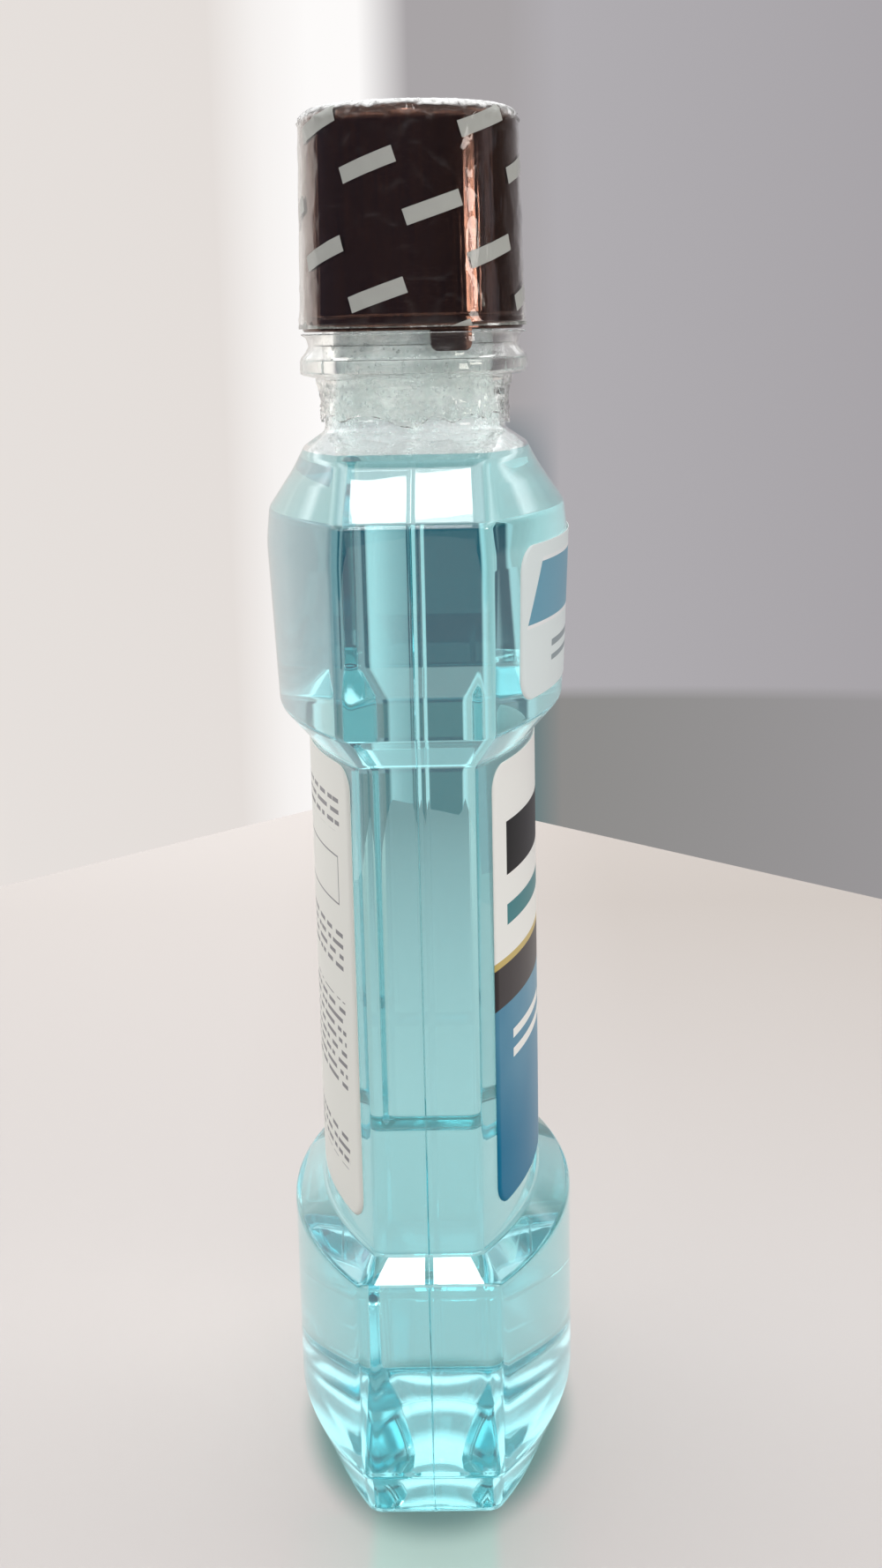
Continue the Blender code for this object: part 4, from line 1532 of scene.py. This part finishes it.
@dataclass
class DosingCap:
    """The ribbed dosing cap, with its thread and its locking tab."""

    low: float = 199.7 * MM
    high: float = 234.5 * MM
    radius: float = 18.4 * MM
    top_radius: float = 17.8 * MM
    corner: float = 2.4 * MM
    pole: float = 0.6 * MM
    inner: float = 16.9 * MM
    cup: float = 16.0 * MM
    cup_step: float = 0.4 * MM
    cup_step_z: float = 226.8 * MM
    ledge: float = 217.8 * MM
    top_wall: float = 1.8 * MM
    thread_z: float = 203.6 * MM
    ribs: int = 110
    rib_points: int = 4
    rib_depth: float = 0.02 * MM
    band: float = 2.0 * MM
    groove: float = 0.2 * MM
    tab_angle: float = math.radians(201.4)
    tab_width: float = 7.1 * MM
    tab_drop: float = 3.3 * MM
    tab_wall: float = 1.1 * MM
    tab_inset: float = 0.15 * MM
    tab_overlap: float = 0.8 * MM
    tab_corner: float = 1.2 * MM
    tab_bevel: float = 0.18 * MM
    tab_columns: int = 25
    tab_rows: int = 13
    sharp: float = math.radians(40)

    def side(self, z: float) -> float:
        """Radius of the tapered side at height z."""
        share = (z - self.low) / (self.high - self.corner - self.low)
        return self.radius + (self.top_radius - self.radius) * min(share, 1.0)

    def outer_profile(self) -> list[Point]:
        """The outside from the rim to the middle of the top: plain band, groove, ribs and round corner.

        Returns:
            Radius, height and share of the ribs' depth at each ring.
        """
        near = 0.25 * MM
        rim, band_top = self.low + near, self.low + self.band
        rib_low, rib_high = band_top + 0.5 * MM, self.high - self.corner - 0.6 * MM
        profile = [
            (self.radius - near, self.low, 0.0),
            (self.side(self.low), rim, 0.0),
            (self.side(self.low), rim + near, 0.0),
            (self.side(band_top), band_top - near, 0.0),
            (self.side(band_top), band_top, 0.0),
            (self.side(rib_low) - self.groove, rib_low - 0.3 * MM, 0.0),
            (self.side(rib_low), rib_low, 0.0),
            (self.side(rib_low), rib_low + near, 1.0),
        ]
        for i in range(1, 7):
            z = rib_low + (rib_high - rib_low) * i / 6
            profile.append((self.side(z), z, 1.0))
        profile.append((self.top_radius, self.high - self.corner, 0.0))
        for i in range(1, 7):
            angle = math.pi / 2 * i / 6
            reach = self.top_radius - self.corner + self.corner * math.cos(angle)
            profile.append((reach, self.high - self.corner + self.corner * math.sin(angle), 0.0))
        return [*profile, (12 * MM, self.high, 0.0), (self.pole, self.high, 0.0)]

    def inner_profile(self) -> list[Span]:
        """The inside from the middle of the cup's end down to the rim.

        Returns:
            Radius and height at each ring.
        """
        top, narrow = self.high - self.top_wall, self.cup - self.cup_step
        return [
            (self.pole, top),
            (self.cup - 1.6 * MM, top),
            (self.cup - 0.7 * MM, top - 0.35 * MM),
            (narrow, top - 1.2 * MM),
            (narrow, self.cup_step_z + self.cup_step),
            (self.cup, self.cup_step_z),
            (self.cup, self.ledge),
            (self.inner, self.ledge),
            (self.inner, self.low + 0.2 * MM),
            (self.inner + 0.2 * MM, self.low),
        ]

    def shell(self) -> bpy.types.Object:
        """Makes the cap without its thread and tab.

        Returns:
            The shell, from the rim up the outside and down the inside to the rim again.
        """
        count = self.ribs * self.rib_points
        angles = np.arange(count) * math.tau / count
        wave = (1 - np.cos(angles * self.ribs)) / 2
        outer = self.outer_profile()
        rings = []
        for radius, z, ribbed in outer + [(radius, z, 0.0) for radius, z in self.inner_profile()]:
            reach = radius - self.rib_depth * wave * ribbed
            across, deep = reach * np.cos(angles), reach * np.sin(angles)
            rings.append(np.stack([across, deep, np.full(count, z)], axis=1))
        faces = []
        for k in range(len(rings)):
            if k != len(outer) - 1:
                faces += Mesh.band(k * count, (k + 1) % len(rings) * count, count)
        middle = len(outer) * count
        faces += [tuple(range(middle - count, middle)), tuple(reversed(range(middle, middle + count)))]
        obj = Mesh.solid("cap_shell", np.concatenate(rings), faces)
        obj.data.set_sharp_from_angle(angle=self.sharp)
        return obj

    def tab_face(self, work: bmesh.types.BMesh, radius: float) -> list[list[bmesh.types.BMVert]]:
        """Makes the points of one face of the tab, with round lower corners.

        Args:
            work: The mesh that gets them.
            radius: The face's distance from the Z axis.

        Returns:
            The points, row by row from the top.
        """
        outer = self.side(self.low) - self.tab_inset
        grid = []
        for j in range(self.tab_rows):
            depth = self.tab_drop * (1 - (1 - j / (self.tab_rows - 1)) ** 1.8)
            into = max(0.0, depth - (self.tab_drop - self.tab_corner))
            narrow = self.tab_corner - math.sqrt(max(self.tab_corner**2 - into**2, 0.0))
            reach = self.tab_width / 2 - narrow
            z = self.low + self.tab_overlap - depth * (self.tab_drop + self.tab_overlap) / self.tab_drop
            line = []
            for i in range(self.tab_columns):
                angle = self.tab_angle + reach * (2 * i / (self.tab_columns - 1) - 1) / outer
                line.append(work.verts.new((radius * math.cos(angle), radius * math.sin(angle), z)))
            grid.append(line)
        return grid

    def tab(self) -> bpy.types.Object:
        """Makes the curved locking tab that hangs below the rim.

        Returns:
            The tab.
        """
        outer = self.side(self.low) - self.tab_inset
        work = bmesh.new()
        front, back = (self.tab_face(work, radius) for radius in (outer, outer - self.tab_wall))
        for j in range(self.tab_rows - 1):
            for i in range(self.tab_columns - 1):
                work.faces.new((front[j][i], front[j + 1][i], front[j + 1][i + 1], front[j][i + 1]))
                work.faces.new((back[j][i], back[j][i + 1], back[j + 1][i + 1], back[j + 1][i]))
            work.faces.new((front[j][0], back[j][0], back[j + 1][0], front[j + 1][0]))
            work.faces.new((front[j][-1], front[j + 1][-1], back[j + 1][-1], back[j][-1]))
        for i in range(self.tab_columns - 1):
            work.faces.new((front[0][i], front[0][i + 1], back[0][i + 1], back[0][i]))
            work.faces.new((front[-1][i], back[-1][i], back[-1][i + 1], front[-1][i + 1]))
        bmesh.ops.recalc_face_normals(work, faces=work.faces)
        mesh = bpy.data.meshes.new("cap_tab")
        work.to_mesh(mesh)
        work.free()
        obj = bpy.data.objects.new("cap_tab", mesh)
        bpy.context.scene.collection.objects.link(obj)
        edge = obj.modifiers.new("Soft edges", "BEVEL")
        edge.width = self.tab_bevel
        edge.segments = 2
        edge.limit_method = "ANGLE"
        edge.angle_limit = math.radians(50)
        mesh.shade_smooth()
        mesh.set_sharp_from_angle(angle=self.sharp)
        return obj

    def build(self, finish: bpy.types.Material) -> list[bpy.types.Object]:
        """Makes the cap, its thread and its tab.

        Args:
            finish: The cap's material.

        Returns:
            The pieces.
        """
        cap = self.shell()
        thread = ThreadForm().ridge("cap_thread", self.inner, -1.0, self.thread_z, math.pi)
        tab = self.tab()
        dress(cap, finish, Body.CAP, Slot.CAP, "cap")
        dress(thread, finish, Body.CAP, Slot.CAP)
        dress(tab, finish, Body.CAP, Slot.CAP)
        return [cap, thread, tab]


@dataclass
class Sleeve:
    """The shrink sleeve in two parts, parted at the cap's lower rim.

    side_fold, corner_fold and top_fold are the depth and the size of the folds there. The skirt is pinched
    between the cap and the bead, except beside the cap's tab, and its lower edge is ragged.
    """

    cap: DosingCap
    bottle: Bottle
    gap: float = 0.2 * MM
    film: float = 0.05 * MM
    columns: int = 220
    fold_circle: float = 18 * MM
    fold_steepness: float = 2.2
    side_rows: int = 40
    side_fold: Span = (0.14 * MM, 4.5 * MM)
    flare: float = 0.45 * MM
    flare_reach: float = 4 * MM
    corner_fold: Span = (0.38 * MM, 1.6 * MM)
    top_pitch: float = 0.85 * MM
    top_fold: Span = (0.25 * MM, 1.4 * MM)
    skirt_fold: float = 1.8 * MM
    skirt_pitch: float = 0.35 * MM
    pinch: float = 1.1 * MM
    pinch_z: float = 197.4 * MM
    pinch_reach: float = 1.7 * MM
    free_of_tab: Span = (0.24, 0.12)
    ragged: float = 1.3 * MM
    ragged_reach: float = 3 * MM
    ragged_size: float = 5 * MM
    ragged_middle: float = 0.6
    top_seeds: Span = (3.0, 9.0)
    skirt_seeds: Span = (21.0, 40.0)

    def crumple(self, angle: float, z: float, size: float, seed: float) -> float:
        """Folds up to 1 high round the Z axis.

        Args:
            angle: Where on the ring.
            z: Height.
            size: The folds' size in metres.
            seed: Picks another pattern.

        Returns:
            The fold's height.
        """
        reach = self.fold_circle / size
        spot = Vector((math.cos(angle) * reach, math.sin(angle) * reach, z / size + seed))
        return 1 - abs(noise.noise(spot)) * self.fold_steepness

    def rolled(self, name: str, profile: list[Fold], seed: float) -> bpy.types.Object:
        """Makes a crinkled tube of film.

        Args:
            name: The object's name.
            profile: Radius, height, depth of the folds and their size at each ring.
            seed: Picks the pattern of the folds.

        Returns:
            The object, with the film's thickness added outward.
        """
        rings = []
        for radius, z, depth, size in profile:
            ring = []
            for i in range(self.columns):
                angle = math.tau * i / self.columns
                lift = depth * max(0.0, self.crumple(angle, z, size, seed)) ** 2
                ring.append(((radius + lift) * math.cos(angle), (radius + lift) * math.sin(angle), z))
            rings.append(np.array(ring))
        obj = Mesh.piece(name, rings, closed=False)
        wall = obj.modifiers.new("Film", "SOLIDIFY")
        wall.thickness = self.film
        wall.offset = 1.0
        return obj

    def top(self) -> bpy.types.Object:
        """Makes the upper part, from a little above the cap's rim to its folded end on the cap's top.

        Returns:
            The film.
        """
        cap = self.cap
        low, high = cap.low + 0.5 * MM, cap.high - cap.corner
        shelf = cap.top_radius - cap.corner
        profile = []
        for i in range(self.side_rows):
            z = low + (high - low) * i / (self.side_rows - 1)
            flare = self.flare * math.exp(-((z - low) / self.flare_reach))
            profile.append((cap.side(z) + self.gap + flare, z, *self.side_fold))
        for i in range(1, 9):
            angle = math.pi / 2 * i / 8
            reach = cap.corner + self.gap
            radius, z = shelf + reach * math.cos(angle), high + reach * math.sin(angle)
            profile.append((radius, z, *self.corner_fold))
        for i in range(1, 7):
            profile.append((shelf - i * self.top_pitch, cap.high + self.gap, 0.0, self.corner_fold[1]))
        side_seed, end_seed = self.top_seeds
        film = self.rolled("sleeve_top_film", profile, side_seed)
        depth, size = self.top_fold
        for vert in film.data.vertices:
            reach = math.hypot(vert.co.x, vert.co.y)
            if reach < shelf:
                angle = math.atan2(vert.co.y, vert.co.x)
                vert.co.z += depth * max(0.0, self.crumple(angle, reach, size, end_seed))
        return film

    def skirt_profile(self) -> list[Fold]:
        """The skirt from the cap's rim over the bead to its edge on the neck.

        Returns:
            Radius, height, depth of the folds and their size at each ring.
        """
        rim = self.cap.radius + self.gap
        bead, neck = self.bottle.bead_radius + self.gap, self.bottle.neck_radius + self.gap
        under = self.bottle.bead_z - self.gap
        points = [
            (rim + 0.1 * MM, self.cap.low - 0.3 * MM, 0.1),
            (rim - 0.2 * MM, self.cap.low - 0.9 * MM, 0.1),
            (bead - 0.2 * MM, self.bottle.bead_z + 2.5 * MM, 0.08),
            (bead, self.bottle.bead_z + 2.0 * MM, 0.04),
            (bead, under + 0.2 * MM, 0.04),
            (bead - 0.5 * MM, under - 0.1 * MM, 0.1),
            (neck + 0.9 * MM, under - 0.6 * MM, 0.3),
            (neck + 0.2 * MM, under - 1.8 * MM, 0.8),
            (neck + 0.1 * MM, under - 3.4 * MM, 0.5),
            (neck + 0.1 * MM, under - 5.6 * MM, 0.5),
            (neck + 0.2 * MM, under - 7.4 * MM, 0.5),
        ]
        profile = []
        for start, end in zip(points, points[1:]):
            steps = max(3, round(math.dist(start[:2], end[:2]) / self.skirt_pitch))
            for i in range(steps):
                radius, z, depth = (a + (b - a) * i / steps for a, b in zip(start, end))
                profile.append((radius, z, depth * MM, self.skirt_fold))
        return profile

    def skirt(self) -> bpy.types.Object:
        """Makes the skirt.

        Returns:
            The film.
        """
        profile = self.skirt_profile()
        side_seed, edge_seed = self.skirt_seeds
        film = self.rolled("sleeve_skirt_film", profile[::-1], side_seed)
        held, fading = self.free_of_tab
        for vert in film.data.vertices:
            share = max(0.0, 1 - (vert.co.z - profile[-1][1]) / self.ragged_reach)
            angle = math.atan2(vert.co.y, vert.co.x)
            from_tab = abs((angle - self.cap.tab_angle + math.pi) % math.tau - math.pi)
            middle = 1 - abs(vert.co.z - self.pinch_z) / self.pinch_reach
            pinch = max(0.0, middle) ** 0.5 * min(1.0, max(0.0, from_tab - held) / fading)
            pulled = 1 - self.pinch * pinch / math.hypot(vert.co.x, vert.co.y)
            vert.co.x *= pulled
            vert.co.y *= pulled
            lift = self.crumple(angle, 0.0, self.ragged_size, edge_seed) - self.ragged_middle
            vert.co.z += self.ragged * share * lift
        return film

    def build(self, top_film: bpy.types.Material, skirt_film: bpy.types.Material) -> list[bpy.types.Object]:
        """Makes both parts.

        Args:
            top_film: The printed film's material.
            skirt_film: The clear film's material.

        Returns:
            The pieces.
        """
        top, skirt = self.top(), self.skirt()
        dress(top, top_film, Body.CAP, Slot.SLEEVE, "sleeve_top")
        dress(skirt, skirt_film, Body.BOTTLE, Slot.SLEEVE, "sleeve_skirt")
        let_light_through(top, skirt)
        return [top, skirt]


@dataclass
class Label:
    """A thin label with round corners, stuck on the bowed face of a block of the body."""

    name: str
    node: str
    slot: Slot
    lower: Slice
    upper: Slice
    side: float
    width: float
    low: float
    height: float
    corner: float = 4.0 * MM
    proud: float = 0.15 * MM
    thickness: float = 0.10 * MM
    columns: int = 44
    corner_rows: int = 7

    def face(self, x: float, z: float) -> float:
        """Y of the block's face on this label's side.

        Args:
            x: Where across the face.
            z: Height.

        Returns:
            The face's Y.
        """
        share = (z - self.lower.z) / (self.upper.z - self.lower.z)
        low, high = self.lower.face_y(x), self.upper.face_y(x)
        return self.side * (low + (high - low) * share)

    def build(self, finish: bpy.types.Material, backing: bpy.types.Material) -> bpy.types.Object:
        """Makes the label.

        Args:
            finish: The material of its printed side.
            backing: The material of its glued side.

        Returns:
            The piece.
        """
        steps = range(self.corner_rows + 1)
        arc = [self.corner * (1 - math.cos(math.pi / 2 * i / self.corner_rows)) for i in steps]
        rows = [self.low + d for d in arc] + [self.low + self.height - d for d in reversed(arc)]
        points, faces = [], []
        for z in rows:
            depth = min(z - self.low, self.low + self.height - z, self.corner)
            narrow = self.corner - math.sqrt(max(self.corner**2 - (self.corner - depth) ** 2, 0.0))
            half = self.width / 2 - narrow
            for i in range(self.columns + 1):
                x = half * (2 * i / self.columns - 1)
                points.append((x, self.face(x, z) + self.side * self.proud, z))
        stride = self.columns + 1
        for j in range(len(rows) - 1):
            for i in range(self.columns):
                a, b = j * stride + i, j * stride + i + 1
                quad = (a, b, b + stride, a + stride)
                faces.append(quad if self.side < 0 else quad[::-1])
        obj = Mesh.solid(self.name, points, faces)
        wall = obj.modifiers.new("Label film", "SOLIDIFY")
        wall.thickness = self.thickness
        wall.offset = -1.0
        wall.material_offset = 1
        dress(obj, finish, Body.BOTTLE, self.slot, self.node)
        obj.data.materials.append(backing)
        return obj


@dataclass(frozen=True)
class Lamp:
    """A soft rectangular light, with its two sides in metres and its power in watts."""

    name: str
    at: Point
    towards: Point
    size: Span
    power: float
    code: str = "#ffffff"
    mirrored: bool = True

    def hang(self) -> None:
        """Hangs the light. The camera doesn't see it, and unless it is mirrored, nor does gloss or glass."""
        data = bpy.data.lights.new(self.name, "AREA")
        data.shape = "RECTANGLE"
        data.size, data.size_y = self.size
        data.energy = self.power
        data.color = linear(self.code)[:3]
        obj = bpy.data.objects.new(self.name, data)
        obj.location = self.at
        obj.rotation_mode = "QUATERNION"
        obj.rotation_quaternion = (Vector(self.towards) - Vector(self.at)).to_track_quat("-Z", "Y")
        obj.visible_camera = False
        obj.visible_transmission = self.mirrored
        obj.visible_glossy = self.mirrored
        bpy.context.scene.collection.objects.link(obj)


@dataclass(frozen=True)
class Room:
    """A soft room: near-white on the left, grey ahead on the right, darker behind, with a bright ceiling.

    Its walls are colours at degrees from straight ahead, anticlockwise, and the wall ahead has three storeys.
    A height is that of a direction on the unit sphere. The panels on the ceiling are a grid: panels has the
    count and the start of its rows along X and along Y.
    """

    back: tuple[Stop, ...] = ((-180, "#5a5a6c"), (-130, "#4c4a55"), (-99, "#4c4a55"), (-95, "#b8b8c2"))
    right: tuple[Stop, ...] = (
        (-85, "#b8b8c2"),
        (-81, "#4a4546"),
        (-66, "#5a5556"),
        (-40, "#8a8587"),
        (-20, "#a19da1"),
    )
    low_right: tuple[Stop, ...] = ((-85, "#c4c4c8"), (-66, "#c0bebe"), (-40, "#b2aeb0"), (-20, "#a19da1"))
    upper: tuple[Stop, ...] = ((-2.8, "#b0adb1"), (-2.4, "#a8a4a6"), (1.6, "#a8a4a6"))
    middle: tuple[Stop, ...] = ((-2.7, "#b0adb1"), (-2.2, "#0f5866"), (1.6, "#0f5866"))
    lowest: tuple[Stop, ...] = ((-1.9, "#8c8b89"), (-1.5, "#4a767b"), (1.6, "#4a767b"))
    left: tuple[Stop, ...] = (
        (2.0, "#fdfbfa"),
        (5.2, "#fdfbfa"),
        (6.5, "#e4deda"),
        (64, "#f0ece9"),
        (72, "#5a5a6c"),
        (180, "#5a5a6c"),
    )
    glow: tuple[Stop, ...] = (
        (-180, "#000000"),
        (14, "#000000"),
        (36, "#ffffff"),
        (58, "#ffffff"),
        (70, "#000000"),
    )
    ceiling: str = "#fdfeff"
    middle_height: Span = (-0.04, -0.08)
    lowest_height: Span = (-0.185, -0.192)
    ceiling_height: Span = (0.16, 0.34)
    panels: tuple[Span, Span] = ((0.45, 0.25), (0.7, 0.5))
    panel_edge: Span = (0.12, 0.26)
    glow_power: float = 0.5
    ceiling_power: float = -0.30
    panel_power: float = 1.25

    def build(self) -> None:
        """Makes the room's colours and brightness, and sets it as the scene's world."""
        world = bpy.data.worlds.new("room")
        world.use_nodes = True
        graph = Graph(world.node_tree)
        sky = graph.tree.nodes["Background"]
        place = graph.node("ShaderNodeTexCoord").outputs["Generated"]
        x, y, height = graph.node("ShaderNodeSeparateXYZ", {0: place}).outputs
        turn = graph.fade(graph.step("ARCTAN2", y, x), -math.pi, math.pi)
        ceiling = graph.fade(height, *self.ceiling_height)
        upper = self.around(graph, turn, self.back, self.right, self.upper, self.left)
        middle = self.around(graph, turn, self.back, self.low_right, self.middle, self.left)
        lowest = self.around(graph, turn, self.back, self.low_right, self.lowest, self.left)
        walls = graph.over(graph.fade(height, *self.middle_height), upper, middle)
        walls = graph.over(graph.fade(height, *self.lowest_height), walls, lowest)
        graph.tree.links.new(graph.over(ceiling, walls, linear(self.ceiling)), sky.inputs[0])
        lit = ceiling
        for along, (count, start) in zip((x, y), self.panels):
            phase = graph.step("MULTIPLY_ADD", graph.step("DIVIDE", along, height), count, start)
            lit = graph.times(lit, graph.fade(graph.step("PINGPONG", phase, 0.5), *self.panel_edge))
        power = graph.step("MULTIPLY_ADD", self.around(graph, turn, self.glow), self.glow_power, 1.0)
        power = graph.step("MULTIPLY_ADD", ceiling, self.ceiling_power, power)
        power = graph.step("MULTIPLY_ADD", lit, self.panel_power, power)
        graph.tree.links.new(power, sky.inputs[1])
        bpy.context.scene.world = world

    def around(self, graph: Graph, turn: Socket, *walls: tuple[Stop, ...]) -> Socket:
        """Colours round the horizon.

        Args:
            graph: The room's node tree.
            turn: The direction's turn, as a share from straight back all the way round.
            *walls: The colours of each wall, one after the other.

        Returns:
            The colour's socket.
        """
        stops = [(0.5 + degrees / 360, code) for wall in walls for degrees, code in wall]
        return graph.node("ShaderNodeValToRGB", {0: turn}, stops=stops).outputs[0]


@dataclass
class Studio:
    """The board that the bottle stands on, the light around it, and the camera."""

    board_corner: Span = (0.497, 0.025)
    board_side: float = 1.5
    board_sunk: float = 0.2 * MM
    focal: float = 43.83
    camera_at: Point = (-0.32824, -0.00825, 0.20061)
    heading: float = math.radians(0.91)
    pitch: float = math.radians(13.55)
    roll: float = math.radians(-1.25)
    bounces: int = 160
    lamps: tuple[Lamp, ...] = (
        Lamp("window_light", (0.78, 0.08, 0.50), (0, 0, 0.19), (0.5, 0.3), 4.4, mirrored=False),
        Lamp("shoulder_panel", (0.193, 0.025, 1.1), (-0.038, 0, 0.175), (0.083, 0.030), 0.045),
        Lamp("base_panel", (-0.738, 0.031, 1.1), (-0.041, 0, 0.05), (0.11, 0.19), 0.75),
        Lamp("strip_light", (-0.392, -0.880, 0.26), (0, 0, 0.215), (0.22, 0.13), 0.9, "#fff8f2"),
    )

    def camera(self) -> None:
        """Puts the camera where the photograph was taken from."""
        forward = Vector(
            (
                math.cos(self.heading) * math.cos(self.pitch),
                math.sin(self.heading) * math.cos(self.pitch),
                -math.sin(self.pitch),
            )
        )
        right = forward.cross(Vector((0, 0, 1))).normalized()
        up = right.cross(forward)
        turned_right = right * math.cos(self.roll) + up * math.sin(self.roll)
        turned_up = up * math.cos(self.roll) - right * math.sin(self.roll)
        data = bpy.data.cameras.new("camera")
        data.sensor_fit = "VERTICAL"
        data.sensor_height = 36.0
        data.lens = self.focal
        data.clip_start = 0.01
        obj = bpy.data.objects.new("camera", data)
        obj.matrix_world = Matrix(
            (
                (turned_right.x, turned_up.x, -forward.x, self.camera_at[0]),
                (turned_right.y, turned_up.y, -forward.y, self.camera_at[1]),
                (turned_right.z, turned_up.z, -forward.z, self.camera_at[2]),
                (0, 0, 0, 1),
            )
        )
        bpy.context.scene.collection.objects.link(obj)
        bpy.context.scene.camera = obj

    def board(self) -> None:
        """Lays the board, with one corner pointing away from the camera."""
        x, y = self.board_corner
        reach = self.board_side / math.sqrt(2)
        points = [(x, y, 0), (x - reach, y + reach, 0), (x - 2 * reach, y, 0), (x - reach, y - reach, 0)]
        obj = Mesh.solid("board", points, [(0, 1, 2, 3)])
        obj.location.z = -self.board_sunk
        obj.data.materials.append(PaintedTable().make())

    def build(self) -> None:
        """Sets up everything around the object."""
        self.camera()
        self.board()
        Room().build()
        for lamp in self.lamps:
            lamp.hang()
        scene = bpy.context.scene
        scene.view_settings.view_transform = "Standard"
        scene.cycles.max_bounces = self.bounces
        scene.cycles.glossy_bounces = self.bounces
        scene.cycles.transmission_bounces = self.bounces
        scene.cycles.transparent_max_bounces = self.bounces


def finish_node(name: str, finish: bpy.types.Material) -> bpy.types.Object:
    """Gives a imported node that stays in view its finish.

    Args:
        name: The node's name.
        finish: Its material.

    Returns:
        The node's object.
    """
    obj = bpy.data.objects[name]
    for slot in obj.material_slots:
        slot.material = finish
    return obj


def stick_labels(bottle: Bottle) -> list[bpy.types.Object]:
    """Makes the three labels on their printed faces.

    Args:
        bottle: The bottle that carries them.

    Returns:
        The pieces.
    """
    waist = (bottle.waist, bottle.waist_top)
    head = (bottle.head, bottle.head_top)
    front = Label("front_print", "front_label", Slot.FRONT, *waist, -1, 68 * MM, 56.2 * MM, 75.9 * MM)
    back = Label("back_print", "back_label", Slot.BACK, *waist, 1, 71 * MM, 54.8 * MM, 78 * MM)
    small = Label(
        "shoulder_print", "shoulder_label", Slot.SHOULDER, *head, -1, 71 * MM, 142.6 * MM, 24.4 * MM
    )
    backing = LabelBacking().make()
    prints = ((front, FrontPrint()), (back, BackPrint()), (small, ShoulderPrint()))
    return [label.build(finish.make(), backing) for label, finish in prints]


def main() -> None:
    """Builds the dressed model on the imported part."""
    logging.basicConfig(level=logging.INFO, format="%(message)s")
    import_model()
    bottle, cap = Bottle(), DosingCap()
    pieces = bottle.build(BlownPet().make())
    pieces += Contents(bottle).build(DyedWater().make(), Froth().make(), BubbleWalls().make(), Mist().make())
    pieces += cap.build(BrownPearlPlastic().make())
    seal = finish_node("cap_seal_ring", FoamedLiner().make())
    pieces += Sleeve(cap, bottle).build(PrintedShrinkFilm(radius=cap.radius).make(), ClearShrinkFilm().make())
    pieces += stick_labels(bottle)
    Studio().build()
    for piece in [*pieces, seal]:
        LOG.info("%s: %d points", piece.name, len(piece.data.vertices))


if __name__ == "__main__":
    main()
